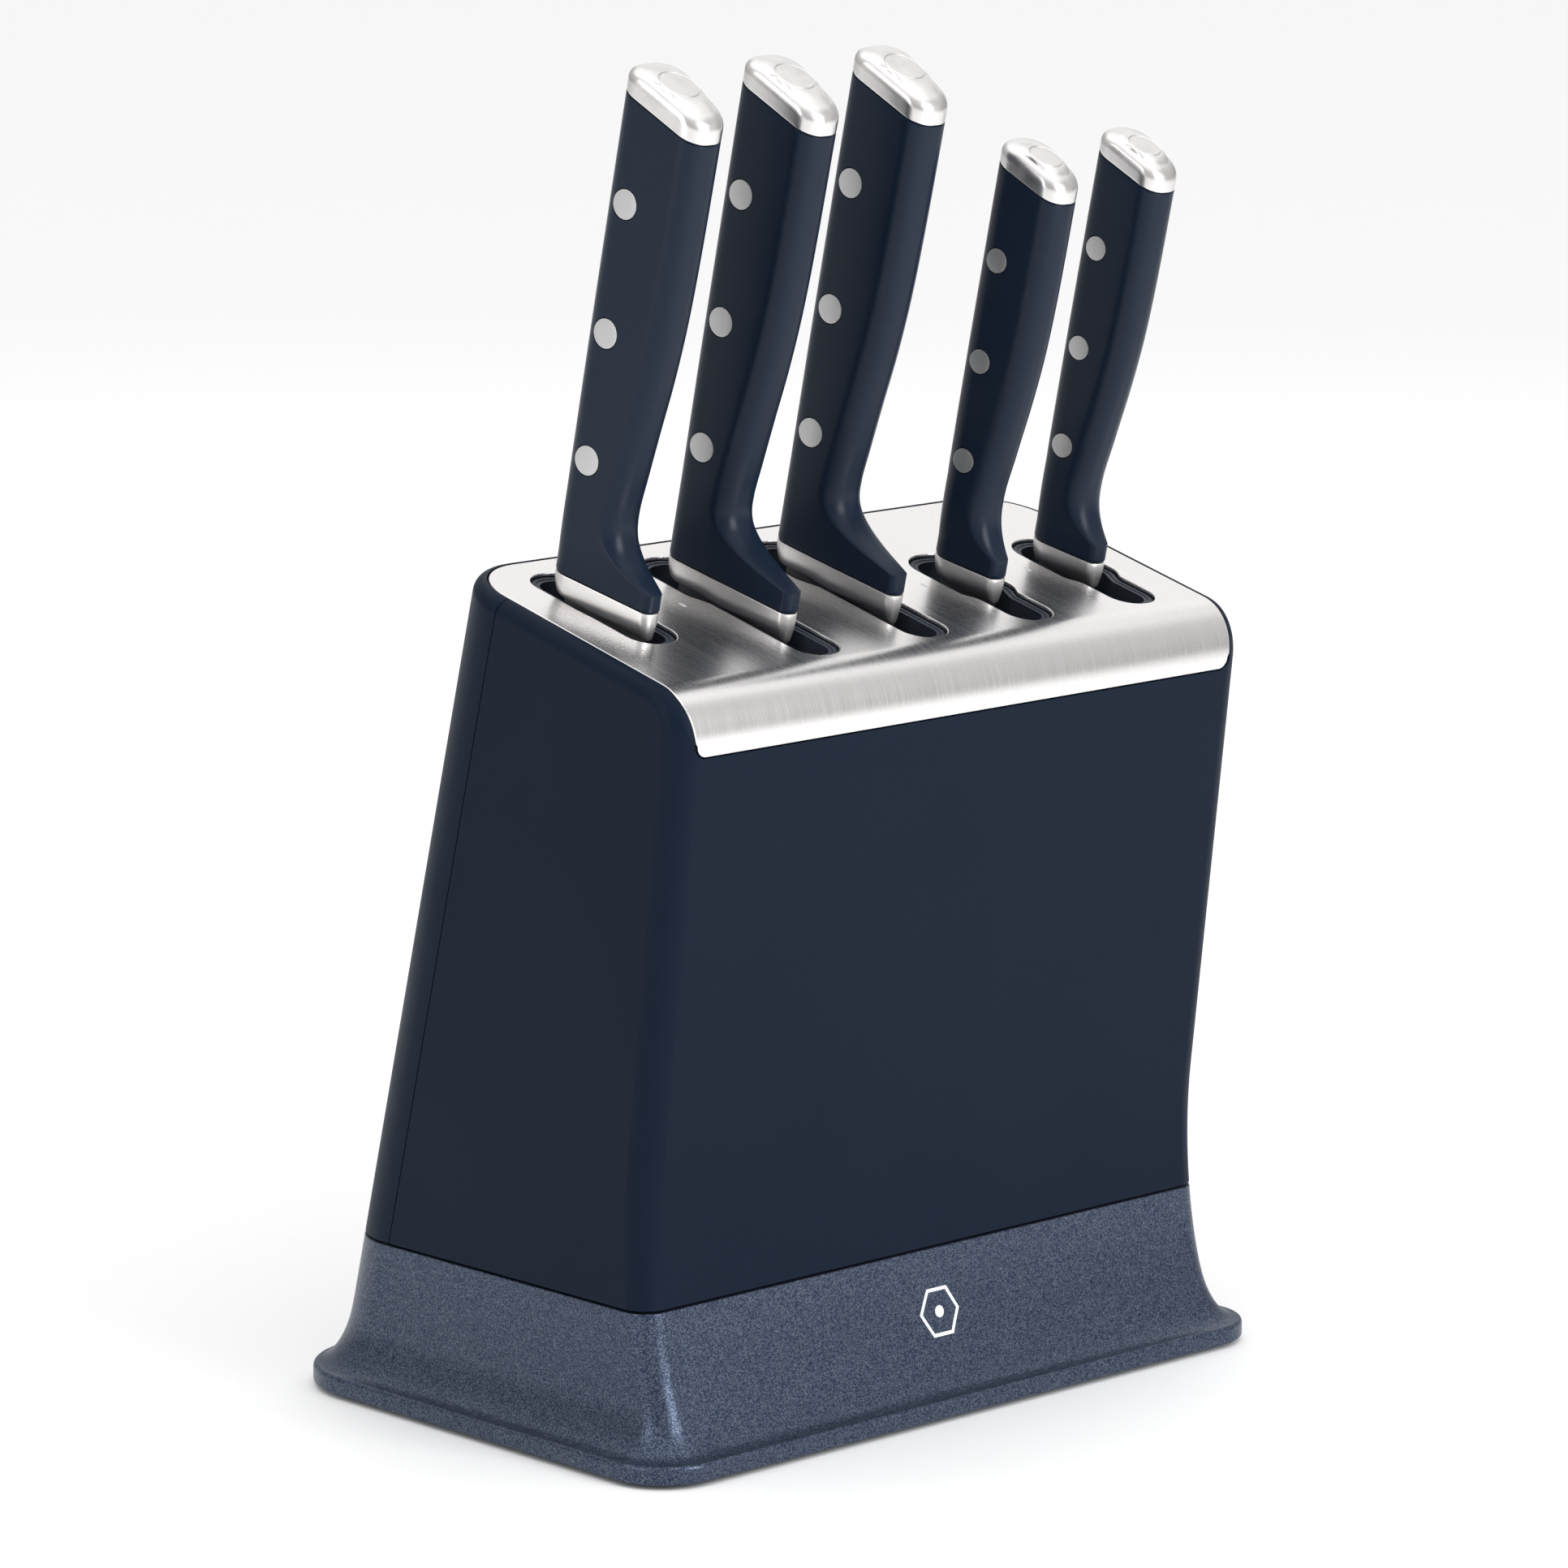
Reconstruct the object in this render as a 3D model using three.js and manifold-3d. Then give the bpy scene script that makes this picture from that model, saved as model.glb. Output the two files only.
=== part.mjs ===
// A knife block on a flared base, with a bent steel top plate and five knives that pull out.
// Millimetres. +X runs along the long front face, -Y is the front and +Z is up.
// The origin is on the floor, under the centre of the base flange.
// The block is drawn with y measured from LINE_Y, and the root group moves it onto the origin.

import * as THREE from 'three';
import { mergeVertices } from 'three/addons/utils/BufferGeometryUtils.js';
import Module from 'manifold-3d';

const wasm = await Module();
wasm.setup();

const { degToRad, lerp } = THREE.MathUtils;

// ---- driving dimensions ----

const LEAN = degToRad(14.4);            // back wall and slots lean forward by this
const KNIFE_TILT = degToRad(1.55);      // a knife lies this much further back than its slot
const FRONT_LEAN = degToRad(6.93);      // the front wall overhangs by this
const GAP = 0.3;                        // clearance between neighbouring pieces
const WALL = 3;                         // moulded wall thickness

const FLANGE_HALF_WIDTH = 109.25;
const FLANGE_FRONT = -71.9;
const FLANGE_BACK = 77.6;
const FLANGE_BOTTOM = 1.2;
const FLANGE_EDGE_TOP = 4.8;
const FLARE_FOOT = 6;                   // height where the flare meets the flange
const FLANGE_SOFT = 1;                  // softened top edge of the flange
const FLANGE_FRONT_RADIUS = 16;
const FLANGE_BACK_RADIUS = 25.5;
const LINE_Y = (FLANGE_FRONT + FLANGE_BACK) / 2;

const BODY_HALF_WIDTH = 99.8;
const BODY_FRONT_RADIUS = 6.9;
const BODY_BACK_RADIUS = 20.5;
const BODY_TOP_RADIUS = 4.2;
const JOINT_HEIGHT = 41.4;              // base skirt below, shells above
const BACK_AT_JOINT = 63.8;
const END_FLARE_TOP = 19.5;
const BACK_FLARE_TOP = 25;
const FRONT_FLARE_TOP = 74;
const SEAM_DEPTH = 21.4;                // rear shell reaches this far forward of the back wall

const PLATE_BACK = { y: 15.3, z: 219 };     // rear edge of the steel plate's top surface
const PLATE_HALF_WIDTH = 95.7;
const PLATE_FRONT_HALF_WIDTH = 93.7;
const PLATE_BACK_RADIUS = 16.5;
const PLATE_LIP_RADIUS = 3;
const PLATE_THICKNESS = 1;
const PLATE_LENGTH = 89;                // along the slope, to the sharp front corner
const PLATE_BEND_RADIUS = 14.2;
const PLATE_LIP_DROP = 14.5;            // wrapped part, down the front from the sharp corner
const DECK_THICKNESS = 3;                   // the tray under the plate that carries the liners
const RIM_WIDTH = 5;                        // the walls thicken to this beside the tray
const LEDGE_WIDTH = 1.6;                    // the tray rests on this ledge inside the rim
const LEDGE_THICKNESS = 2;

const SLOT_PITCH = 37.8;
const LINER_WALL = 2.6;
const LINER_RECESS = 1;
const LINER_DEPTH = 26;

const COVER_BOTTOM = 3;
const COVER_THICKNESS = 2.5;
const FOOT_RADIUS = 7;
const FOOT_STEM_RADIUS = 2.5;
const FOOT_PLACES = [[-88, -54], [88, -54], [-84, 56], [84, 56]];
const SCREW_RADIUS = 1.5;
const SCREW_HEAD_RADIUS = 3.2;
const SCREW_TOP = 14;
const POST_PLACES = [[-56.7, -16], [56.7, -16], [-56.7, 40], [56.7, 40]];
const POST_WIDTH = 9;
const RACK_LEVEL = -150;                // height of the blade rack in the sloping frame

const BLADE_HALF = 1.1;
const TANG_WIDTH = 13;
const TANG_SHORT = 8;                   // the tang stops this far below the end cap
const REACH = 300;                      // cutting solids run at least this far past the block

// One row per slot, from left to right, with the knife that stands in it.
// back, front and step are distances down the slope from the plate's rear edge.
const LARGE = {
  spineHalf: 8.75, bellyHalf: 6, guardHalf: 2.65, neck: 18.4, top: 131, height: 7.2,
  belly: [[24, 18.4], [35, 19.8], [47, 21.6], [61, 23.8], [75, 25.3], [90, 26.1], [131, 26.9]],
  rivets: [36.9, 70, 103.2], rivetRadius: 3.8, rivetDepth: 8.4, foot: 6.7,
};
const SMALL = {
  spineHalf: 8, bellyHalf: 5.5, guardHalf: 2.65, neck: 14.8, top: 111.5, height: 6.7,
  belly: [[22, 14.8], [36, 16.8], [50, 19.1], [63, 20.7], [77, 21.5], [111, 21.9]],
  rivets: [32.6, 59.4, 86.4], rivetRadius: 3.2, rivetDepth: 7.6, foot: 6,
};
const KNIVES = [
  {
    name: 'carver', size: LARGE, offset: 17, rise: 0.3, guard: 32.6, length: 200, depth: 31,
    slot: { back: 7.6, front: 55.6, wide: 7.7, narrow: 7.3, step: [30, 36] },
    spineDrop: 2, spinePower: 4, edgeRise: 26, edgePower: 5,
  },
  {
    name: 'chef', size: LARGE, offset: 18, rise: 0.2, guard: 42, length: 200, depth: 41.5,
    slot: { back: 7.6, front: 75, wide: 9.5, narrow: 7.15, step: [31.5, 38] },
    spineDrop: 3, spinePower: 3, edgeRise: 36, edgePower: 2.8,
  },
  {
    name: 'santoku', size: LARGE, offset: 17.8, rise: 0.2, guard: 41.3, length: 180, depth: 41,
    slot: { back: 7.6, front: 75, wide: 9.5, narrow: 7.15, step: [31.5, 38] },
    spineDrop: 30, spinePower: 8, edgeRise: 8, edgePower: 4,
  },
  {
    name: 'utility', size: SMALL, offset: 36.5, rise: -0.5, guard: 21.2, length: 130, depth: 20.5,
    slot: { back: 28.5, front: 75, wide: 9.5, narrow: 7.15, step: [54, 58] },
    spineDrop: 2, spinePower: 3, edgeRise: 16.5, edgePower: 3,
  },
  {
    name: 'paring', size: SMALL, offset: 34.9, rise: -0.9, guard: 21.8, length: 90, depth: 21,
    slot: { back: 28.5, front: 75, wide: 9.5, narrow: 7.15, step: [54, 58] },
    spineDrop: 3, spinePower: 3, edgeRise: 16.5, edgePower: 2.4,
  },
];

const COLOURS = {
  shell: [0x2b3442, 0.6, 0],
  base: [0x3c475c, 0.4, 0.4],
  steel: [0xb9bbbd, 0.3, 1],
  polished: [0xd8d8d8, 0.15, 1],
  grip: [0x1f2b3c, 0.45, 0],
  liner: [0x2c2f35, 0.8, 0],
  rubber: [0x17181a, 0.9, 0],
  inner: [0x33373d, 0.7, 0],
};

// ---- helpers ----

// Rounds the corners of a closed outline. Each corner is [x, y, radius, steps].
function filleted(corners) {
  const points = [];
  corners.forEach(([x, y, radius, steps], i) => {
    const corner = new THREE.Vector2(x, y);
    if (!radius) {
      points.push(corner);
      return;
    }
    const before = corners[(i + corners.length - 1) % corners.length];
    const after = corners[(i + 1) % corners.length];
    const toBefore = new THREE.Vector2(before[0] - x, before[1] - y).normalize();
    const toAfter = new THREE.Vector2(after[0] - x, after[1] - y).normalize();
    const half = Math.acos(THREE.MathUtils.clamp(toBefore.dot(toAfter), -1, 1)) / 2;
    const bisector = toBefore.clone().add(toAfter).normalize();
    const centre = corner.clone().addScaledVector(bisector, radius / Math.sin(half));
    const reach = radius / Math.tan(half);
    const start = corner.clone().addScaledVector(toBefore, reach).sub(centre);
    const end = corner.clone().addScaledVector(toAfter, reach).sub(centre);
    const sweep = Math.atan2(start.x * end.y - start.y * end.x, start.dot(end));
    for (let step = 0; step <= steps; step += 1) {
      const arm = start.clone().rotateAround(new THREE.Vector2(), (sweep * step) / steps);
      points.push(arm.add(centre));
    }
  });
  return points;
}

// Prism along +Z from a closed 2-D outline.
function prism(outline, low, high) {
  const geometry = new THREE.ExtrudeGeometry(new THREE.Shape(outline), {
    depth: high - low, bevelEnabled: false,
  });
  return geometry.translate(0, 0, low);
}

// Prism along X from an outline given as (y, z).
function prismAlongX(outline, halfWidth) {
  const basis = new THREE.Matrix4().makeBasis(
    new THREE.Vector3(0, 1, 0), new THREE.Vector3(0, 0, 1), new THREE.Vector3(1, 0, 0),
  );
  return prism(outline, -halfWidth, halfWidth).applyMatrix4(basis);
}

// Prism along Y from an outline given as (x, z).
function prismAlongY(outline, low, high) {
  const basis = new THREE.Matrix4().makeBasis(
    new THREE.Vector3(1, 0, 0), new THREE.Vector3(0, 0, 1), new THREE.Vector3(0, -1, 0),
  );
  return prism(outline, -high, -low).applyMatrix4(basis);
}

// Skin through convex rings with the same number of points; the first and last are capped.
function loft(rings, place) {
  const count = rings[0].length;
  const position = [];
  rings.forEach((ring, level) => {
    ring.forEach((point) => position.push(...place(point, level).toArray()));
  });
  const index = [];
  for (let level = 0; level < rings.length - 1; level += 1) {
    for (let i = 0; i < count; i += 1) {
      const a = level * count + i;
      const b = level * count + ((i + 1) % count);
      index.push(a, b, b + count, a, b + count, a + count);
    }
  }
  const last = (rings.length - 1) * count;
  for (let i = 1; i < count - 1; i += 1) {
    index.push(0, i + 1, i, last, last + i, last + i + 1);
  }
  const geometry = new THREE.BufferGeometry();
  geometry.setAttribute('position', new THREE.Float32BufferAttribute(position, 3));
  geometry.setIndex(index);
  return geometry;
}

function toSolid(geometry) {
  const bare = geometry.clone();
  bare.deleteAttribute('normal');
  bare.deleteAttribute('uv');
  const merged = mergeVertices(bare, 1e-4);
  return new wasm.Manifold(new wasm.Mesh({
    numProp: 3,
    vertProperties: new Float32Array(merged.attributes.position.array),
    triVerts: new Uint32Array(merged.index.array),
  }));
}

function toGeometry(solid) {
  const mesh = solid.getMesh();
  const geometry = new THREE.BufferGeometry();
  geometry.setAttribute('position', new THREE.BufferAttribute(new Float32Array(mesh.vertProperties), 3));
  geometry.setIndex(new THREE.BufferAttribute(new Uint32Array(mesh.triVerts), 1));
  geometry.computeVertexNormals();
  return geometry;
}

function makeMesh(name, geometry, [color, roughness, metalness]) {
  const mesh = new THREE.Mesh(geometry, new THREE.MeshStandardMaterial({ color, roughness, metalness }));
  mesh.name = name;
  return mesh;
}

function cylinderAlongX(radius, halfLength, y, z, sides) {
  const geometry = new THREE.CylinderGeometry(radius, radius, 2 * halfLength, sides);
  return geometry.rotateZ(Math.PI / 2).translate(0, y, z);
}

// ---- the block's walls ----

const FRONT_CORNER = new THREE.Vector2(
  PLATE_BACK.y - PLATE_LENGTH * Math.cos(LEAN), PLATE_BACK.z - PLATE_LENGTH * Math.sin(LEAN),
);

function frontLine(z) {
  return FRONT_CORNER.x + (FRONT_CORNER.y - z) * Math.tan(FRONT_LEAN);
}

function backLine(z) {
  return BACK_AT_JOINT - (z - JOINT_HEIGHT) * Math.tan(LEAN);
}

// Concave sweep from a wall line down to the flange, as a curve from (top) to (foot).
function flareCurve(line, topHeight, foot, topPull, footPull) {
  const top = new THREE.Vector2(line(topHeight), topHeight);
  const corner = new THREE.Vector2(line(FLARE_FOOT), FLARE_FOOT);
  const end = new THREE.Vector2(foot, FLARE_FOOT);
  return new THREE.CubicBezierCurve(
    top, top.clone().lerp(corner, topPull), end.clone().lerp(corner, footPull), end,
  );
}

const FLARES = {
  front: flareCurve(frontLine, FRONT_FLARE_TOP, FLANGE_FRONT + FLANGE_SOFT, 0.44, 0.49),
  back: flareCurve(backLine, BACK_FLARE_TOP, FLANGE_BACK - FLANGE_SOFT, 0.55, 0.55),
  end: flareCurve(() => BODY_HALF_WIDTH, END_FLARE_TOP, FLANGE_HALF_WIDTH - FLANGE_SOFT, 0.55, 0.55),
};

function onFlare(curve, z) {
  let low = 0;
  let high = 1;
  for (let i = 0; i < 30; i += 1) {
    const middle = (low + high) / 2;
    if (curve.getPoint(middle).y > z) {
      low = middle;
    } else {
      high = middle;
    }
  }
  return curve.getPoint(low).x;
}

// Outline of the walls at height z, set in by inset.
function wallRing(z, inset) {
  let front;
  let back;
  let end;
  if (z < FLARE_FOOT) {
    const soft = FLANGE_SOFT * Math.max(0, (z - FLANGE_EDGE_TOP) / (FLARE_FOOT - FLANGE_EDGE_TOP));
    front = FLANGE_FRONT + soft;
    back = FLANGE_BACK - soft;
    end = FLANGE_HALF_WIDTH - soft;
  } else {
    front = z < FRONT_FLARE_TOP ? onFlare(FLARES.front, z) : frontLine(z);
    back = z < BACK_FLARE_TOP ? onFlare(FLARES.back, z) : backLine(z);
    end = z < END_FLARE_TOP ? onFlare(FLARES.end, z) : BODY_HALF_WIDTH;
  }
  const flared = (end - BODY_HALF_WIDTH) / (FLANGE_HALF_WIDTH - BODY_HALF_WIDTH);
  const frontRadius = lerp(BODY_FRONT_RADIUS, FLANGE_FRONT_RADIUS, flared) - inset;
  const backRadius = lerp(BODY_BACK_RADIUS, FLANGE_BACK_RADIUS, flared) - inset;
  const half = end - inset;
  return filleted([
    [-half, front + inset, frontRadius, 4],
    [half, front + inset, frontRadius, 4],
    [half, back - inset, backRadius, 6],
    [-half, back - inset, backRadius, 6],
  ]);
}

function wallSolid(heights, inset) {
  const rings = heights.map((z) => wallRing(z, inset));
  return toSolid(loft(rings, (point, level) => new THREE.Vector3(point.x, point.y, heights[level])));
}

// ---- the sloping frame of the top plate: x across, y = -distance down the slope, z = height ----

const SLOPE = new THREE.Matrix4().makeRotationX(LEAN).setPosition(0, PLATE_BACK.y, PLATE_BACK.z);

function sloped(geometry) {
  return toSolid(geometry.applyMatrix4(SLOPE));
}

// Side view of the sharp corner over the bend and of the front's lower end, sunk in by depth.
function topOutline(depth, drop) {
  const turn = Math.PI / 2 - LEAN + FRONT_LEAN;
  const down = new THREE.Vector2(-Math.cos(turn), -Math.sin(turn));
  const inward = new THREE.Vector2(Math.sin(turn), -Math.cos(turn));
  const corner = new THREE.Vector2(-PLATE_LENGTH, 0);
  const inner = corner.clone().add(new THREE.Vector2(depth * Math.tan(turn / 2), -depth));
  const lip = corner.clone().addScaledVector(down, drop).addScaledVector(inward, depth);
  return { inner, lip };
}

// Everything under the plate's outer surface, lowered by depth: the slope, the bend and the front.
function belowTop(depth) {
  const { inner, lip } = topOutline(depth, REACH);
  return sloped(prismAlongX(filleted([
    [REACH, -depth, 0, 0],
    [inner.x, inner.y, PLATE_BEND_RADIUS - depth, 8],
    [lip.x, lip.y, 0, 0],
    [REACH, -REACH, 0, 0],
  ]), REACH));
}

function slotOutline({ back, front, wide, narrow, step }, grow) {
  const [stepBack, stepFront] = step;
  return filleted([
    [-wide - grow, -back + grow, wide + grow - 0.4, 4],
    [-wide - grow, -stepBack - grow / 2, 4, 2],
    [-narrow - grow, -stepFront, 4, 2],
    [-narrow - grow, -front - grow, narrow + grow - 0.3, 4],
    [narrow + grow, -front - grow, narrow + grow - 0.3, 4],
    [narrow + grow, -stepFront, 4, 2],
    [wide + grow, -stepBack - grow / 2, 4, 2],
    [wide + grow, -back + grow, wide + grow - 0.4, 4],
  ]);
}

function slotPrism(index, grow, low, high) {
  const outline = slotOutline(KNIVES[index].slot, grow);
  return sloped(prism(outline, low, high).translate(slotX(index), 0, 0));
}

function slotX(index) {
  return (index - (KNIVES.length - 1) / 2) * SLOT_PITCH;
}

function cutSlots(solid, grow) {
  return KNIVES.reduce((rest, knife, index) => rest.subtract(slotPrism(index, grow, -40, 20)), solid);
}

// ---- block pieces ----

function baseSkirt() {
  const heights = [FLANGE_BOTTOM, FLANGE_EDGE_TOP, 6, 7, 8.5, 10.5, 13, 16, 19.5, 25, 31, 36];
  const outer = wallSolid([...heights, JOINT_HEIGHT - GAP], 0);
  const inner = wallSolid([-1, 5, 8, 12, 16, 21, 30, JOINT_HEIGHT + 1], WALL);
  return outer.subtract(inner);
}

function bottomCover() {
  const levels = [COVER_BOTTOM, COVER_BOTTOM + COVER_THICKNESS];
  const outline = wallRing(FLANGE_BOTTOM, WALL + GAP);
  let cover = toSolid(prism(outline, ...levels));
  const inset = wallSolid([0, 5, 8], WALL + GAP);
  cover = cover.intersect(inset);
  FOOT_PLACES.forEach(([x, y]) => {
    cover = cover.subtract(toSolid(uprightCylinder(FOOT_STEM_RADIUS + GAP, 0, 9, x, y, 10)));
  });
  POST_PLACES.forEach(([x, y]) => {
    cover = cover.subtract(toSolid(uprightCylinder(SCREW_RADIUS + GAP, 0, 9, x, y, 10)));
  });
  return cover;
}

function uprightCylinder(radius, low, high, x, y, sides) {
  const geometry = new THREE.CylinderGeometry(radius, radius, high - low, sides);
  return geometry.rotateX(Math.PI / 2).translate(x, y, (low + high) / 2);
}

// A rubber foot with a stem that plugs into the cover.
function foot([x, y]) {
  const profile = [
    [0, 0], [FOOT_RADIUS - 0.4, 0], [FOOT_RADIUS, 0.5], [FOOT_RADIUS, COVER_BOTTOM - GAP],
    [FOOT_STEM_RADIUS, COVER_BOTTOM - GAP], [FOOT_STEM_RADIUS, 7], [0, 7],
  ].map(([r, z]) => new THREE.Vector2(r, z));
  return new THREE.LatheGeometry(profile, 16).rotateX(Math.PI / 2).translate(x, y, 0);
}

// A pan-head screw that goes up through the cover into a post of the blade rack.
function screw([x, y]) {
  const head = COVER_BOTTOM - GAP;
  const profile = [
    [0, 1.3], [2, 1.3], [SCREW_HEAD_RADIUS, 2], [SCREW_HEAD_RADIUS, head],
    [SCREW_RADIUS, head], [SCREW_RADIUS, SCREW_TOP - 2], [0.5, SCREW_TOP], [0, SCREW_TOP],
  ].map(([r, z]) => new THREE.Vector2(r, z));
  return new THREE.LatheGeometry(profile, 10).rotateX(Math.PI / 2).translate(x, y, 0);
}

const ABOVE_BLOCK = 245;                    // wall rings are drawn up to here, then cut by the slope
const UNDER_PLATE = PLATE_THICKNESS + GAP;
const UNDER_DECK = UNDER_PLATE + DECK_THICKNESS;

// What lies inside the upper walls, at least inset from their outer face.
function insideWalls(inset) {
  return wallSolid([JOINT_HEIGHT - 5, 47, 60, FRONT_FLARE_TOP, ABOVE_BLOCK], inset);
}

// A slab parallel to the plate, between two heights in the sloping frame.
function slab(low, high) {
  const box = new THREE.BoxGeometry(2 * REACH, 2 * REACH, high - low);
  return sloped(box.translate(0, 0, (low + high) / 2));
}

// The upper body before it is split into its two shells: walls, rim and the ledge for the tray.
function bodySolid() {
  const walls = wallSolid([JOINT_HEIGHT + GAP, 47, 53, 60, 67, FRONT_FLARE_TOP, ABOVE_BLOCK], 0);
  const ends = sloped(prismAlongY(filleted([
    [-BODY_HALF_WIDTH, -REACH, 0, 0],
    [BODY_HALF_WIDTH, -REACH, 0, 0],
    [BODY_HALF_WIDTH, 0, BODY_TOP_RADIUS, 5],
    [-BODY_HALF_WIDTH, 0, BODY_TOP_RADIUS, 5],
  ]), -REACH, REACH));
  const outer = walls.intersect(belowTop(0)).intersect(ends);
  const ledgeTop = -UNDER_DECK - GAP;
  const ledgeBottom = ledgeTop - LEDGE_THICKNESS;
  const belowRim = insideWalls(WALL).intersect(slab(-REACH, ledgeBottom));
  const insideLedge = insideWalls(RIM_WIDTH + LEDGE_WIDTH).intersect(slab(-REACH, 0));
  const insideRim = insideWalls(RIM_WIDTH).intersect(slab(ledgeTop, 0));
  const cavity = belowRim.add(insideLedge.add(insideRim).intersect(belowTop(PLATE_THICKNESS)));
  return outer.subtract(cavity).subtract(plateBlank(GAP, 4));
}

// Everything behind the seam, which runs parallel to the back wall.
function rearZone(seamGap) {
  const toBack = (BACK_AT_JOINT - PLATE_BACK.y) * Math.cos(LEAN)
    + (JOINT_HEIGHT - PLATE_BACK.z) * Math.sin(LEAN);
  const seam = toBack - SEAM_DEPTH - seamGap;
  return sloped(new THREE.BoxGeometry(2 * REACH, REACH, 2 * REACH).translate(0, seam + REACH / 2, 0));
}

// Sheet with the plate's outline, bent over the front edge. grow widens it, above raises it.
function plateBlank(grow, above) {
  const thickness = PLATE_THICKNESS + grow;
  const top = topOutline(-above, PLATE_LIP_DROP + grow);
  const under = topOutline(thickness, PLATE_LIP_DROP + grow);
  const sheet = prismAlongX(filleted([
    [grow, above, 0, 0],
    [top.inner.x, top.inner.y, PLATE_BEND_RADIUS + above, 8],
    [top.lip.x, top.lip.y, 0, 0],
    [under.lip.x, under.lip.y, 0, 0],
    [under.inner.x, under.inner.y, PLATE_BEND_RADIUS - thickness, 8],
    [grow, -thickness, 0, 0],
  ]), 110);
  const half = PLATE_HALF_WIDTH + grow;
  const plan = prism(filleted([
    [-half, -130, 0, 0],
    [half, -130, 0, 0],
    [half, grow, PLATE_BACK_RADIUS, 6],
    [-half, grow, PLATE_BACK_RADIUS, 6],
  ]), -60, 20);
  const lipHalf = PLATE_FRONT_HALF_WIDTH + grow;
  const lipLow = under.lip.y;
  const face = prismAlongY(filleted([
    [-lipHalf, lipLow - 0.5, PLATE_LIP_RADIUS, 3],
    [lipHalf, lipLow - 0.5, PLATE_LIP_RADIUS, 3],
    [half, -PLATE_THICKNESS, 0, 0],
    [half, 20, 0, 0],
    [-half, 20, 0, 0],
    [-half, -PLATE_THICKNESS, 0, 0],
  ]), -160, 60);
  return sloped(sheet).intersect(sloped(plan)).intersect(sloped(face));
}

// Front and both ends.
function frontShell(body) {
  return body.subtract(rearZone(GAP));
}

// Back wall and both rear corners.
function rearShell(body) {
  return body.intersect(rearZone(0));
}

// The tray under the steel plate, with a slot for each liner.
function deck() {
  const tray = belowTop(UNDER_PLATE).intersect(slab(-UNDER_DECK, 0));
  return cutSlots(tray.intersect(insideWalls(RIM_WIDTH + GAP)), 0);
}

// A slot liner: a rim just under the plate's surface, and a chute that guides the blade.
function slotLiner(index) {
  const outer = slotPrism(index, -GAP, -LINER_DEPTH, -LINER_RECESS);
  const inner = slotPrism(index, -LINER_WALL, -LINER_DEPTH - 5, 5);
  return outer.subtract(inner);
}

// A grid near the floor that keeps the blades apart, on four posts.
function bladeRack() {
  const outline = filleted([
    [-88, -80, 3, 2],
    [88, -80, 3, 2],
    [88, -4, 3, 2],
    [-88, -4, 3, 2],
  ]);
  let rack = sloped(prism(outline, RACK_LEVEL, RACK_LEVEL + WALL));
  const low = COVER_BOTTOM + COVER_THICKNESS + GAP;
  POST_PLACES.forEach(([x, y]) => {
    const downSlope = (PLATE_BACK.y - RACK_LEVEL * Math.sin(LEAN) - y) / Math.cos(LEAN);
    const high = PLATE_BACK.z + RACK_LEVEL * Math.cos(LEAN) - downSlope * Math.sin(LEAN);
    const post = new THREE.BoxGeometry(POST_WIDTH, POST_WIDTH, high - low + 1);
    rack = rack.add(toSolid(post.translate(x, y, (high + 1 + low) / 2)));
    rack = rack.subtract(toSolid(uprightCylinder(SCREW_RADIUS + GAP, 0, SCREW_TOP + 1, x, y, 10)));
  });
  KNIVES.forEach((knife, index) => {
    const slot = new THREE.BoxGeometry(6, 60, 20).translate(slotX(index), -42, RACK_LEVEL);
    rack = rack.subtract(sloped(slot));
  });
  return rack;
}

// ---- knife pieces, in the knife's own frame: -y towards the edge, z up along the handle ----

const FOOT_SLOPE = -0.072;     // the bolster's top edge falls towards the heel
const CAP_SLOPE = -0.3;        // the cap's lower edge falls towards the belly
const HANDLE_EDGE = 5.5;       // rounding of the handle's long edges
const CAP_ROLL = 2;            // how far in the end cap's rounded shoulder reaches at its sides
const CAP_ROLL_RISE = 2.3;
const CAP_ENDS = 1.9;          // the shoulder is this many times longer at the spine and the belly
const CAP_CROWN = 0.7;
const CAP_FLAT_INSET = 3.6;    // of the middle of the crown, which is flat
const BOLSTER_DROP = 6.2;      // from the grip's foot to the bolster's lower edge, at the spine
const BOLSTER_TUCK = 1.35;     // how far the lower edge is drawn in
const BOLSTER_FRONT = 1.3;
const BOLSTER_FOOT_SLOPE = -0.118;
const RIVET_REACH = 12;        // rivets run this far to each side before they are trimmed
const GUARD_LOW = 9;           // the guard's front face ends here, above the bolster
const GUARD_POWER = 2.6;

// Distance from the spine to the belly at a height along the handle.
function bellyAt(knife, height) {
  const { belly } = knife.size;
  const first = belly[0];
  if (height <= first[0]) {
    const rise = Math.min(1, (first[0] - height) / (first[0] - GUARD_LOW));
    return first[1] + (knife.guard - first[1]) * rise ** GUARD_POWER;
  }
  for (let i = 1; i < belly.length; i += 1) {
    if (height <= belly[i][0]) {
      const part = (height - belly[i - 1][0]) / (belly[i][0] - belly[i - 1][0]);
      return lerp(belly[i - 1][1], belly[i][1], part);
    }
  }
  return belly[belly.length - 1][1];
}

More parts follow.
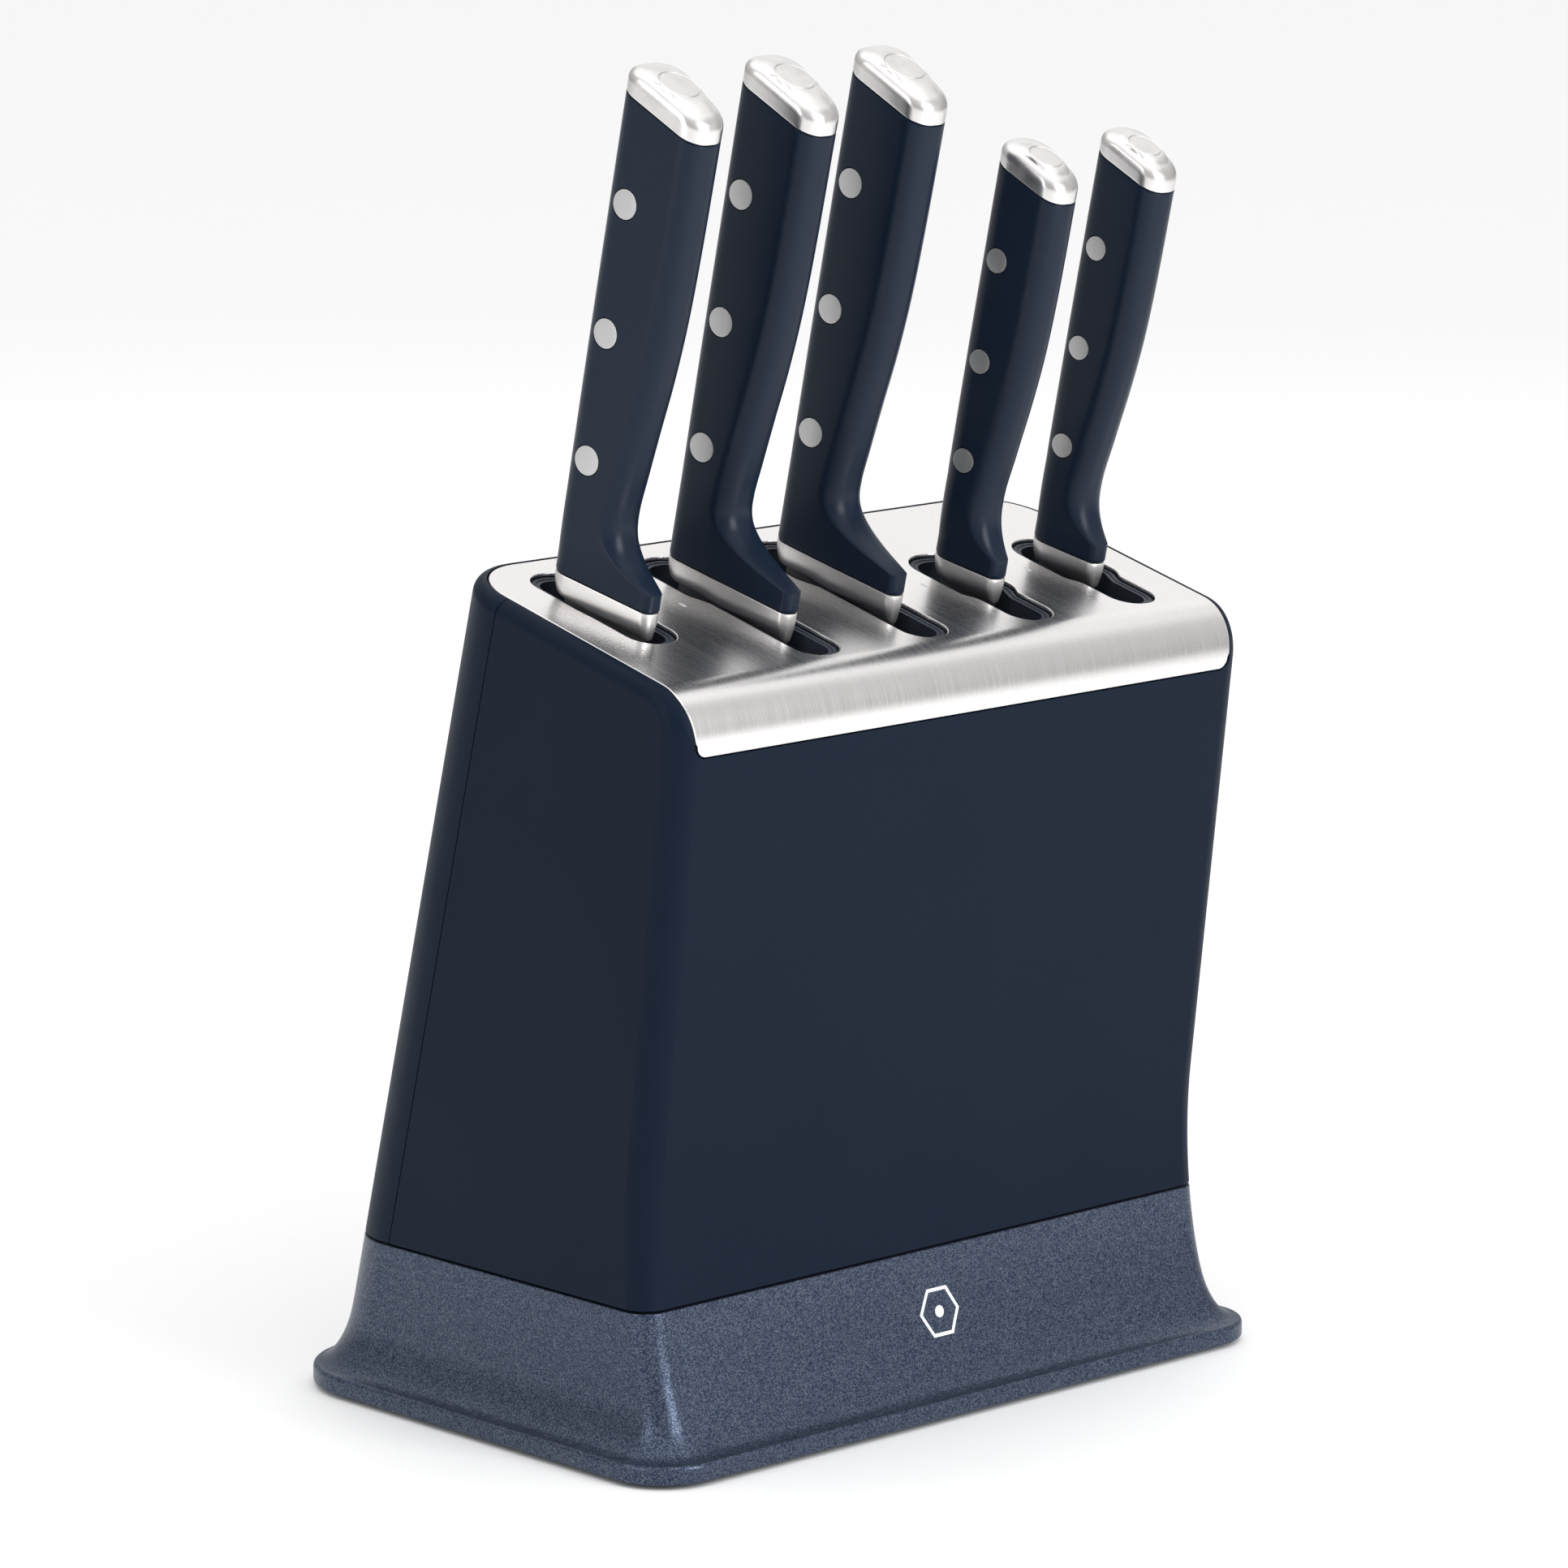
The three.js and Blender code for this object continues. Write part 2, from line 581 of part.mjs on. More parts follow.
// Wedge-shaped section of the handle, set in by inset, at a height on the spine.
function handleRing(knife, height, slope, inset, endInset) {
  const { spineHalf, bellyHalf, guardHalf, neck } = knife.size;
  let belly = knife.size.neck;
  for (let i = 0; i < 8; i += 1) {
    belly = bellyAt(knife, height + slope * belly);
  }
  const overNeck = Math.max(0, (belly - neck) / (knife.guard - neck));
  const atGuard = height < 30 ? Math.min(1, overNeck) : 0;
  const half = lerp(bellyHalf, guardHalf, atGuard) - inset;
  const spineRadius = Math.min(HANDLE_EDGE, 0.85 * (spineHalf - inset));
  const bellyRadius = Math.min(HANDLE_EDGE, half - 0.2);
  return filleted([
    [spineHalf - inset, -endInset, spineRadius, 4],
    [-spineHalf + inset, -endInset, spineRadius, 4],
    [-half, -belly + endInset, bellyRadius, 4],
    [half, -belly + endInset, bellyRadius, 4],
  ]);
}

function handleLoft(knife, levels) {
  const rings = levels.map(({ height, slope, inset = 0, endInset = 0 }) => (
    handleRing(knife, height, slope, inset, endInset)
  ));
  return toSolid(loft(rings, (point, level) => {
    const { height, slope } = levels[level];
    return new THREE.Vector3(point.x, point.y, height - slope * point.y);
  }));
}

function gripBlank(knife) {
  const { foot: low, top } = knife.size;
  const heights = [low, 9, 10.3, 12, 14.2, 17, 20.5, 25, 32, 42, 54, 68, 86, top];
  const levels = heights.map((height) => ({
    height, slope: lerp(FOOT_SLOPE, CAP_SLOPE, THREE.MathUtils.smoothstep(height, 40, top)),
  }));
  return handleLoft(knife, levels);
}

// Steel end cap: it carries the handle's outline on and rounds over to a sloping crowned top.
function endCap(knife) {
  const { top, height } = knife.size;
  const straight = height - CAP_ROLL_RISE - CAP_CROWN;
  const levels = [{ rise: 0, inset: 0 }, { rise: straight, inset: 0 }];
  [26, 52, 78].forEach((degrees) => {
    const turn = THREE.MathUtils.degToRad(degrees);
    levels.push({
      rise: straight + CAP_ROLL_RISE * Math.sin(turn), inset: CAP_ROLL * (1 - Math.cos(turn)),
    });
  });
  levels.push({ rise: height, inset: CAP_FLAT_INSET });
  return handleLoft(knife, levels.map(({ rise, inset }) => ({
    height: top + GAP + rise, slope: CAP_SLOPE, inset, endInset: CAP_ENDS * inset,
  })));
}

// Bolster: it carries the handle's wedge on, upright at first, and tucks in towards the slot.
function bolster(knife) {
  const { spineHalf, guardHalf, foot: low } = knife.size;
  const parts = [0, 0.15, 0.4, 1];
  const rings = parts.map((part) => {
    const tuck = (1 - part) ** 2.2;
    const spine = spineHalf - BOLSTER_TUCK * tuck;
    const front = lerp(guardHalf, BOLSTER_FRONT, tuck);
    const start = 0.4 * tuck;
    const end = knife.guard - 0.4 * tuck;
    const spineRadius = Math.min(HANDLE_EDGE, 0.85 * spine);
    return filleted([
      [spine, -start, spineRadius, 4],
      [-spine, -start, spineRadius, 4],
      [-front, -end, front - 0.15, 2],
      [front, -end, front - 0.15, 2],
    ]);
  });
  return toSolid(loft(rings, (point, level) => {
    const height = lerp(low - BOLSTER_DROP, low - GAP, parts[level]);
    const slope = lerp(BOLSTER_FOOT_SLOPE, FOOT_SLOPE, parts[level]);
    return new THREE.Vector3(point.x, point.y, height - slope * point.y);
  }));
}

function bladeBlank(knife) {
  const steps = [0, 0.2, 0.4, 0.55, 0.7, 0.8, 0.88, 0.94, 0.98, 1];
  const rings = steps.map((step) => {
    const spine = 1.2 + knife.spineDrop * step ** knife.spinePower;
    const edge = Math.max(knife.depth - knife.edgeRise * step ** knife.edgePower, spine + 1.2);
    const thick = BLADE_HALF * (1 - 0.35 * step);
    const shoulder = lerp(spine, edge, 0.35);
    return [
      [thick, -spine], [-thick, -spine], [-thick, -shoulder], [-0.15, -edge], [0.15, -edge],
      [thick, -shoulder],
    ].map(([x, y]) => new THREE.Vector2(x, y));
  }).reverse();
  const heel = knife.size.foot - 5;
  return toSolid(loft(rings, (point, level) => {
    const step = steps[steps.length - 1 - level];
    const slope = -0.11 * (1 - step);
    return new THREE.Vector3(point.x, point.y, heel - step * knife.length - slope * point.y);
  }));
}

function rivetCylinder(knife, height, grow) {
  const { rivetRadius, rivetDepth } = knife.size;
  return toSolid(cylinderAlongX(rivetRadius + grow, RIVET_REACH, -rivetDepth, height, 12));
}

// Blade, bolster and tang are forged as one piece.
function forging(knife) {
  const { foot: low, top, rivets, rivetDepth } = knife.size;
  const tangTop = top - TANG_SHORT;
  const tangRoot = low - 2;
  const tang = new THREE.BoxGeometry(2 * BLADE_HALF, TANG_WIDTH, tangTop - tangRoot)
    .translate(0, -rivetDepth, (tangTop + tangRoot) / 2);
  let solid = bolster(knife).add(bladeBlank(knife)).add(toSolid(tang));
  rivets.forEach((height) => {
    solid = solid.subtract(rivetCylinder(knife, height, GAP));
  });
  return solid;
}

function gripSolid(knife, blank) {
  const { foot: low, top, rivets, rivetDepth } = knife.size;
  const pocket = new THREE.BoxGeometry(2 * (BLADE_HALF + GAP), TANG_WIDTH + 2 * GAP, REACH)
    .translate(0, -rivetDepth, (top + low) / 2);
  let grip = blank.subtract(toSolid(pocket));
  rivets.forEach((height) => {
    grip = grip.subtract(rivetCylinder(knife, height, GAP));
  });
  return grip;
}

function knifeGroup(knife, index) {
  const group = new THREE.Group();
  group.position.set(slotX(index), -knife.offset, knife.rise);
  group.rotation.x = -KNIFE_TILT;
  const blank = gripBlank(knife);
  group.add(makeMesh(`${knife.name}_blade`, toGeometry(forging(knife)), COLOURS.steel));
  group.add(makeMesh(`${knife.name}_grip`, toGeometry(gripSolid(knife, blank)), COLOURS.grip));
  group.add(makeMesh(`${knife.name}_cap`, toGeometry(endCap(knife)), COLOURS.polished));
  knife.size.rivets.forEach((height, i) => {
    const rivet = rivetCylinder(knife, height, 0).intersect(blank);
    group.add(makeMesh(`${knife.name}_rivet_${i + 1}`, toGeometry(rivet), COLOURS.steel));
  });
  return group;
}

// ---- assembly ----

const block = new THREE.Group();
const body = bodySolid();
block.add(makeMesh('base_skirt', toGeometry(baseSkirt()), COLOURS.base));
block.add(makeMesh('bottom_cover', toGeometry(bottomCover()), COLOURS.inner));
block.add(makeMesh('front_shell', toGeometry(frontShell(body)), COLOURS.shell));
block.add(makeMesh('rear_shell', toGeometry(rearShell(body)), COLOURS.shell));
block.add(makeMesh('deck', toGeometry(deck()), COLOURS.inner));
block.add(makeMesh('top_plate', toGeometry(cutSlots(plateBlank(0, 0), 0)), COLOURS.steel));
block.add(makeMesh('blade_rack', toGeometry(bladeRack()), COLOURS.inner));
KNIVES.forEach((knife, index) => {
  block.add(makeMesh(`${knife.name}_liner`, toGeometry(slotLiner(index)), COLOURS.liner));
});
FOOT_PLACES.forEach((place, i) => block.add(makeMesh(`foot_${i + 1}`, foot(place), COLOURS.rubber)));
POST_PLACES.forEach((place, i) => block.add(makeMesh(`screw_${i + 1}`, screw(place), COLOURS.steel)));

const slope = new THREE.Group();
slope.position.set(0, PLATE_BACK.y, PLATE_BACK.z);
slope.rotation.x = LEAN;
KNIVES.forEach((knife, index) => slope.add(knifeGroup(knife, index)));
block.add(slope);
block.position.y = -LINE_Y;

const root = new THREE.Group();
root.add(block);

export default root;
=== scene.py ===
"""Knife block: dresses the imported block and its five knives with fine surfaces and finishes."""

import math

import bmesh
import bpy
from mathutils import Matrix, Vector
from mathutils.geometry import delaunay_2d_cdt


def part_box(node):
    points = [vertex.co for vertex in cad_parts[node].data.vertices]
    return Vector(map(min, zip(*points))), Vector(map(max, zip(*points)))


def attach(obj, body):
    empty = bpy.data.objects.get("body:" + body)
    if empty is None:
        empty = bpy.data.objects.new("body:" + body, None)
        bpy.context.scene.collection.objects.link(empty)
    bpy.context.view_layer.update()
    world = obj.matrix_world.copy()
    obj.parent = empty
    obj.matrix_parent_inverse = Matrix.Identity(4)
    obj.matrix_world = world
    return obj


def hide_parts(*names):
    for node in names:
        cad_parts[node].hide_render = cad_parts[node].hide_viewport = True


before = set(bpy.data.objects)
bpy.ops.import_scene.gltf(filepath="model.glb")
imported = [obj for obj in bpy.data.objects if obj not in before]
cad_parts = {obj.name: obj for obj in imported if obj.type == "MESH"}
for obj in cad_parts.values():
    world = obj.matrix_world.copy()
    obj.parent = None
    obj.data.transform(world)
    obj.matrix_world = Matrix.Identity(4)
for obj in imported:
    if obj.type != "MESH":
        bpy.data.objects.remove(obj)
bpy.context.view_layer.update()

bl_info = {
    "name": "Knife block",
    "version": (1, 0, 0),
    "blender": (4, 5, 0),
    "location": "3D View > Sidebar > Knife block",
    "description": "Builds the fine surfaces and finishes of a knife block with five knives",
    "category": "Object",
}

MM = 0.001
WELD = 0.002  # points closer than this many millimetres are joined
CRISP = math.radians(33)  # edges sharper than this stay crisp

# ---- driving dimensions in millimetres: x across, y to the back, z up, floor at 0 ----

LEAN = math.radians(14.4)  # back wall and slots lean forward by this
KNIFE_TILT = math.radians(1.55)  # a knife lies this much further back than its slot
FRONT_LEAN = math.radians(6.93)  # the front wall overhangs by this
GAP = 0.3  # joint lines between neighbouring pieces

FLANGE_HALF_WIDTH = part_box("base_skirt")[1].x / MM
FLANGE_HALF_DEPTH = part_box("base_skirt")[1].y / MM
FLANGE_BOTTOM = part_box("base_skirt")[0].z / MM
FLANGE_EDGE_TOP = 4.8
FLARE_FOOT = 6.0
FLANGE_SOFT = 1.0  # rounding of the flange's upper edge
FLANGE_UNDER_SOFT = 0.6  # and of its lower edge
FLANGE_FRONT_RADIUS = 16.0
FLANGE_BACK_RADIUS = 25.5

BODY_HALF_WIDTH = 99.8
BODY_FRONT_RADIUS = 6.9
BODY_BACK_RADIUS = 20.5
BODY_TOP_RADIUS = 4.2
BODY_BACK_TOP_RADIUS = 2.7
SKIRT_WALL = 3.0
SKIRT_INSIDE_HEIGHTS = (25, 16, 12, 9, 7.5)  # rows inside the wall, closer where the flare is steep
SHELL_WALL = 2.6
JOINT_HEIGHT = 41.4
BACK_AT_JOINT = 60.95
END_FLARE_TOP = 19.5
BACK_FLARE_TOP = 25.0
FRONT_FLARE_TOP = 74.0
SEAM_DEPTH = 21.4  # from the back wall to the seam on each end
SEAM_BAND = 0.4  # narrow strip of faces that keeps the seam's edge crisp
SOFT_STEPS = 3  # cuts in a softened edge
FACE_STEPS = 3  # cuts from the flat front round to the cut for the plate

PLATE_BACK_Y = 12.45
PLATE_BACK_Z = 219.0
PLATE_HALF_WIDTH = 95.7
PLATE_LIP_HALF_WIDTH = 93.7
PLATE_BACK_RADIUS = 16.5
PLATE_LIP_RADIUS = 3.0
PLATE_THICKNESS = 1.0
PLATE_LENGTH = 89.0  # along the slope, to the sharp corner over the bend
PLATE_LIP_DROP = 14.5  # down the front, from the same corner
BEND_RADIUS = 14.2
BEND_TURN = math.pi / 2 - LEAN + FRONT_LEAN
BEND_START = PLATE_LENGTH - BEND_RADIUS * math.tan(BEND_TURN / 2)
BEND_END = BEND_START + BEND_RADIUS * BEND_TURN
LIP_END = BEND_END + PLATE_LIP_DROP - (PLATE_LENGTH - BEND_START)

SLOT_PITCH = 37.8
SLOT_STEP_RADIUS = 4.0
SLOT_FRONT_FLAT = 0.3  # half the flat left at a slot's rounded front end
SLOT_BACK_FLAT = 0.4  # and at its back end
LINER_WALL = 2.6
LINER_RECESS = 1.0
LINER_DEPTH = 26.0
LINER_STEP_SLANT = 0.4  # how far the liner's step leans in, as a share of its height

HANDLE_EDGE = 5.5  # rounding of the handle's long edges
EDGE_STEPS = 10  # cuts in each of them
SPINE_ROUND_SHARE = 0.85  # the spine's rounding takes at most this share of its half width
BELLY_FLAT = 0.2  # half the flat left between the belly's two roundings
GUARD_LOW = 9.0
GUARD_POWER = 2.6
GUARD_TOP = 30.0  # the guard lies wholly below this height
BELLY_ROUNDS = 12  # rounds that find where a sloping section meets the belly
HEEL_TOP = 25.0  # rows lie closer together below this height
FOOT_SLOPE = -0.072  # the bolster's top edge falls towards the heel
SLOPE_TURNS = 40.0  # above this height the rows turn from the foot's slope to the cap's
CAP_SLOPE = -0.3  # the cap's lower edge falls towards the belly

CAP_ROLL = 2.0  # how far in from the side the end cap's rounded shoulder reaches
CAP_ROLL_RISE = 3.3
CAP_ROLL_TURN = math.radians(80)  # the shoulder stops short of level, where the crown takes over
CAP_ENDS = 1.9  # the shoulder is this many times longer at the spine and the belly
CAP_CROWN = 0.9
RING_DEPTH_IN = 13.0  # from the spine to the engraved ring's centre, on a large knife
RING_LINE_HALF = 0.3
RING_MIDDLE_RISE = 0.08  # the crown goes on rising by this much inside the ring

BOLSTER_DROP = 6.2  # from the grip's foot to the bolster's lower edge, at the spine
BOLSTER_TUCK = 1.35  # how far the lower edge is drawn in at the sides
BOLSTER_END_TUCK = 0.4  # and at the spine and the heel
BOLSTER_TUCK_POWER = 2.2  # over 1, the sides stay upright at first
BOLSTER_FRONT = 1.3  # half the thickness of the lower edge at the heel
BOLSTER_FOOT_SLOPE = -0.118

BLADE_HALF = 1.1
BLADE_HEEL = 5.0  # the blade starts this far below the grip's foot, inside the bolster
BLADE_SPINE_IN = 1.2  # the blade's spine lies this far in from the handle's
BLADE_TIP = 1.2  # least depth, at the tip
BLADE_THINNING = 0.35  # share of its thickness that the blade loses by the tip
GRIND_START = 0.35  # the flat sides end at this share of the depth
SPINE_EASE = 0.2
EDGE_BEVEL = 0.9
BEVEL_HALF = 0.24  # half the thickness where the cutting bevel starts
EDGE_HALF = 0.05
HEEL_SLOPE = -0.11

ROUND_STEPS = 40  # cuts in a circle
CUTTER_REACH = 12.0  # past both sides of the handle

BADGE_HEIGHT = 25.0
BADGE_LINE = 1.0
BADGE_DOT = 1.5
BADGE_STEPS = 96
PRINT_RAISE = 0.04  # a print's film is thinner; it is drawn at 0.04 mm so that it lies clear
DASH_BESIDE = 6.0  # from a slot's side to its etched dash
DASH_HALF = (0.5, 1.3)
DASH_ROUND = 0.45
DASHES = {"chef": 36.5, "utility": 46.0, "paring": 46.0}  # how far down the slope each dash lies

SLOPE = Matrix.Translation((0, PLATE_BACK_Y, PLATE_BACK_Z)) @ Matrix.Rotation(LEAN, 4, "X")

LARGE = {
    "spine_half": 8.75, "belly_half": 6.0, "guard_half": 2.65, "neck": 18.4, "top": 131.0, "height": 7.2,
    "belly": [(24, 18.4), (35, 19.8), (47, 21.6), (61, 23.8), (75, 25.3), (90, 26.1), (131, 26.9)],
    "rivets": [36.9, 70.0, 103.2], "rivet_radius": 3.8, "rivet_depth": 8.4, "foot": 6.7, "ring": 5.2,
}
SMALL = {
    "spine_half": 8.0, "belly_half": 5.5, "guard_half": 2.65, "neck": 14.8, "top": 111.5, "height": 6.7,
    "belly": [(22, 14.8), (36, 16.8), (50, 19.1), (63, 20.7), (77, 21.5), (111, 21.9)],
    "rivets": [32.6, 59.4, 86.4], "rivet_radius": 3.2, "rivet_depth": 7.6, "foot": 6.0, "ring": 4.3,
}
WIDE_SLOT = {"back": 7.6, "front": 75.0, "wide": 9.5, "narrow": 7.15, "step": (31.5, 38.0)}
SHORT_SLOT = {**WIDE_SLOT, "back": 28.5, "step": (54.0, 58.0)}
CARVER_SLOT = {"back": 7.6, "front": 55.6, "wide": 7.7, "narrow": 7.3, "step": (30.0, 36.0)}
KNIVES = [
    {"name": "carver", "size": LARGE, "slot": CARVER_SLOT, "offset": 17.0, "rise": 0.3, "guard": 32.6,
     "length": 200, "depth": 31.0, "spine_drop": 2, "spine_power": 4, "edge_rise": 26, "edge_power": 5},
    {"name": "chef", "size": LARGE, "slot": WIDE_SLOT, "offset": 18.0, "rise": 0.2, "guard": 42.0,
     "length": 200, "depth": 41.5, "spine_drop": 3, "spine_power": 3, "edge_rise": 36, "edge_power": 2.8},
    {"name": "santoku", "size": LARGE, "slot": WIDE_SLOT, "offset": 17.8, "rise": 0.2, "guard": 41.3,
     "length": 180, "depth": 41.0, "spine_drop": 30, "spine_power": 8, "edge_rise": 8, "edge_power": 4},
    {"name": "utility", "size": SMALL, "slot": SHORT_SLOT, "offset": 36.5, "rise": -0.5, "guard": 21.2,
     "length": 130, "depth": 20.5, "spine_drop": 2, "spine_power": 3, "edge_rise": 16.5, "edge_power": 3},
    {"name": "paring", "size": SMALL, "slot": SHORT_SLOT, "offset": 34.9, "rise": -0.9, "guard": 21.8,
     "length": 90, "depth": 21.0, "spine_drop": 3, "spine_power": 3, "edge_rise": 16.5, "edge_power": 2.4},
]
for place, knife in enumerate(KNIVES):
    knife["x"] = (place - (len(KNIVES) - 1) / 2) * SLOT_PITCH

# ---- studio, in metres and watts ----

FLOOR_HALF = 14.0
AIM = Vector((0, 0, 0.17))  # what the softboxes point at
SOFTBOXES = (  # name, place, width, height, power
    ("left_softbox", (-1.3, 0.1, 0.6), 0.5, 0.9, 4.5),
    ("front_softbox", (0.2, -1.3, 0.6), 0.6, 0.9, 13),
    ("back_softbox", (1.25, 0.95, 1.05), 1.4, 0.9, 2),
)
CEILING_POWER = 1.1
CEILING_SPREAD = math.radians(90)
HORIZON_LIGHT = 0.4
ZENITH_LIGHT = 0.85
LENS = 166.8  # millimetres, on a sensor 36 mm wide
SENSOR = 36
CAMERA_PLACE = (-1.268, -1.346, 0.508)
CAMERA_RIGHT = Vector((0.72700, -0.68664, 0.0)).normalized()
CAMERA_FORWARD = Vector((0.67440, 0.71404, -0.18798)).normalized()
FAR_CLIP = 20


# ---- settings a user may change ----


def linear(code):
    """Turns an sRGB hex colour into linear red, green and blue."""
    parts = [int(code[i:i + 2], 16) / 255 for i in (1, 3, 5)]
    return tuple(c / 12.92 if c <= 0.04045 else ((c + 0.055) / 1.055) ** 2.4 for c in parts)


def colour(name, code, description):
    """Colour setting whose default is a hex code."""
    return bpy.props.FloatVectorProperty(
        name=name, description=description, subtype="COLOR", size=3, min=0, max=1, default=linear(code)
    )


def length(name, value, description):
    """Length setting whose default is in millimetres."""
    return bpy.props.FloatProperty(
        name=name, description=description, subtype="DISTANCE", unit="LENGTH", min=0, default=value * MM
    )


class KnifeBlockColours(bpy.types.PropertyGroup):
    shell: colour("Shell", "#0c1828", "Moulded body shells")
    skirt: colour("Skirt", "#232e44", "Lacquered base skirt")
    flake: colour("Flake", "#77818f", "Bright flakes in the skirt's lacquer")
    grip: colour("Grip", "#0f1c2d", "Moulded handles")
    steel: colour("Steel", "#e3e1e0", "Brushed plate, blades and bolsters")
    cap: colour("End cap", "#dddbda", "Polished end caps")
    rivet: colour("Rivet", "#bdbdbd", "Rivet heads")
    liner: colour("Slot liner", "#2b313c", "Moulded slot liners")
    print_ink: colour("Print", "#e4e6ea", "Printed badge on the skirt")
    floor: colour("Floor", "#f4f4f4", "Studio floor")


class KnifeBlockSizes(bpy.types.PropertyGroup):
    plate_edge: length("Plate edge", 0.35, "Rounding of the steel plate's edges")
    soft_edge: length("Soft edge", 0.3, "Rounding of moulded edges at the joint lines")
    liner_step: length("Liner step", 0.25, "Drop from the liner's rim to its inner step")
    rivet_dome: length("Rivet dome", 0.05, "How far a rivet's middle stands up")
    rivet_gap: length("Rivet gap", 0.22, "Dark line round each rivet")
    groove: length("Groove", 0.2, "Depth of the ring engraved in each end cap")
    badge: length("Badge", 14.0, "Badge printed on the skirt, corner to corner")


# ---- shapes ----


class Shape:
    """Points in millimetres and the faces between them, added row by row."""

    def __init__(self):
        self.points = []
        self.faces = []

    def row(self, points):
        """Add points; returns their numbers."""
        start = len(self.points)
        self.points.extend(Vector(point) for point in points)
        return list(range(start, len(self.points)))

    def skin(self, one, two, closed=True):
        """Join two rows of equal length by quads."""
        count = len(one)
        for i in range(count if closed else count - 1):
            j = (i + 1) % count
            self.faces.append((one[i], one[j], two[j], two[i]))

    def loft(self, rows, closed=True, wrap=False, capped=False):
        """Join rows in order; wrap joins the last to the first, capped closes both ends."""
        made = [self.row(points) for points in rows]
        for one, two in zip(made, made[1:]):
            self.skin(one, two, closed)
        if wrap:
            self.skin(made[-1], made[0], closed)
        if capped:
            self.faces += [tuple(made[0]), tuple(made[-1])]
        return made


def spread(low, high, steps, power=1.0):
    """Steps + 1 values from low to high, crowded at the low end when power is over 1."""
    return [low + (high - low) * (k / steps) ** power for k in range(steps + 1)]


def quarter(steps):
    """Angles over a quarter turn."""
    return spread(0, math.pi / 2, steps)


def blend(a, b, part):
    """Value part of the way from a to b."""
    return a + (b - a) * part


def smooth(part):
    """Part of the way, with a soft start and end."""
    part = max(0.0, min(1.0, part))
    return part * part * (3 - 2 * part)


def filleted(corners, sides=None):
    """Closed outline of (x, y, radius, steps) corners; sides says into how many each straight is cut."""
    arcs = []
    for i, (x, y, radius, steps) in enumerate(corners):
        corner = Vector((x, y))
        before = (Vector(corners[i - 1][:2]) - corner).normalized()
        after = (Vector(corners[(i + 1) % len(corners)][:2]) - corner).normalized()
        half = math.acos(max(-1.0, min(1.0, before.dot(after)))) / 2
        centre = corner + (before + after).normalized() * (radius / math.sin(half))
        reach = radius / math.tan(half)
        start = corner + before * reach - centre
        end = corner + after * reach - centre
        sweep = math.atan2(start.cross(end), start.dot(end))
        arcs.append([
            centre + Matrix.Rotation(sweep * k / steps, 2) @ start for k in range(steps + 1)
        ])
    points = []
    for i, arc in enumerate(arcs):
        following = arcs[(i + 1) % len(arcs)]
        cuts = sides[i] if sides else 1
        points += arc
        points += [arc[-1].lerp(following[0], k / cuts) for k in range(1, cuts)]
    return points


def on_slope(x, down, height):
    """Point given across, down the plate's slope and above it."""
    return SLOPE @ Vector((x, -down, height))


def fold(x, along, depth):
    """Point of the plate from its place on the flat sheet, sunk under the top face by depth."""
    turn = max(0.0, min((along - BEND_START) / BEND_RADIUS, BEND_TURN))
    if turn == 0:
        return on_slope(x, along, -depth)
    radius = BEND_RADIUS - depth
    past = max(0.0, along - BEND_END)
    down = BEND_START + radius * math.sin(turn) + past * math.cos(turn)
    height = -BEND_RADIUS + radius * math.cos(turn) - past * math.sin(turn)
    return on_slope(x, down, height)


# ---- walls of the block ----

FRONT_CORNER = on_slope(0, PLATE_LENGTH, 0)
BACK_DOWN = -((SLOPE.inverted() @ Vector((0, BACK_AT_JOINT, JOINT_HEIGHT))).y)  # back wall, down the slope
SLOPE_SEAM = BACK_DOWN + SEAM_DEPTH


def front_line(z):
    """Front wall's y at height z, without its flare."""
    return FRONT_CORNER.y + (FRONT_CORNER.z - z) * math.tan(FRONT_LEAN)


def back_line(z):
    """Back wall's y at height z, without its flare."""
    return BACK_AT_JOINT - (z - JOINT_HEIGHT) * math.tan(LEAN)


def flare(line, top_height, foot, top_pull, foot_pull):
    """Control points of the sweep from a wall line at top_height out to the flange at foot."""
    top = Vector((line(top_height), top_height))
    corner = Vector((line(FLARE_FOOT), FLARE_FOOT))
    end = Vector((foot, FLARE_FOOT))
    return [top, top.lerp(corner, top_pull), end.lerp(corner, foot_pull), end]


FLARES = {
    "front": flare(front_line, FRONT_FLARE_TOP, -FLANGE_HALF_DEPTH + FLANGE_SOFT, 0.44, 0.49),
    "back": flare(back_line, BACK_FLARE_TOP, FLANGE_HALF_DEPTH - FLANGE_SOFT, 0.55, 0.55),
    "end": flare(lambda z: BODY_HALF_WIDTH, END_FLARE_TOP, FLANGE_HALF_WIDTH - FLANGE_SOFT, 0.55, 0.55),
}


def on_flare(name, z):
    """How far out a flare reaches at height z."""
    a, b, c, d = FLARES[name]
    low, high = 0.0, 1.0
    point = a
    for _ in range(40):
        t = (low + high) / 2
        u = 1 - t
        point = a * u ** 3 + b * (3 * u * u * t) + c * (3 * u * t * t) + d * t ** 3
        if point.y > z:
            low = t
        else:
            high = t
    return point.x


def wall_lines(z):
    """Front, back and end of the outer wall at height z."""
    front = on_flare("front", z) if z < FRONT_FLARE_TOP else front_line(z)
    back = on_flare("back", z) if z < BACK_FLARE_TOP else back_line(z)
    end = on_flare("end", z) if z < END_FLARE_TOP else BODY_HALF_WIDTH
    return front, back, end


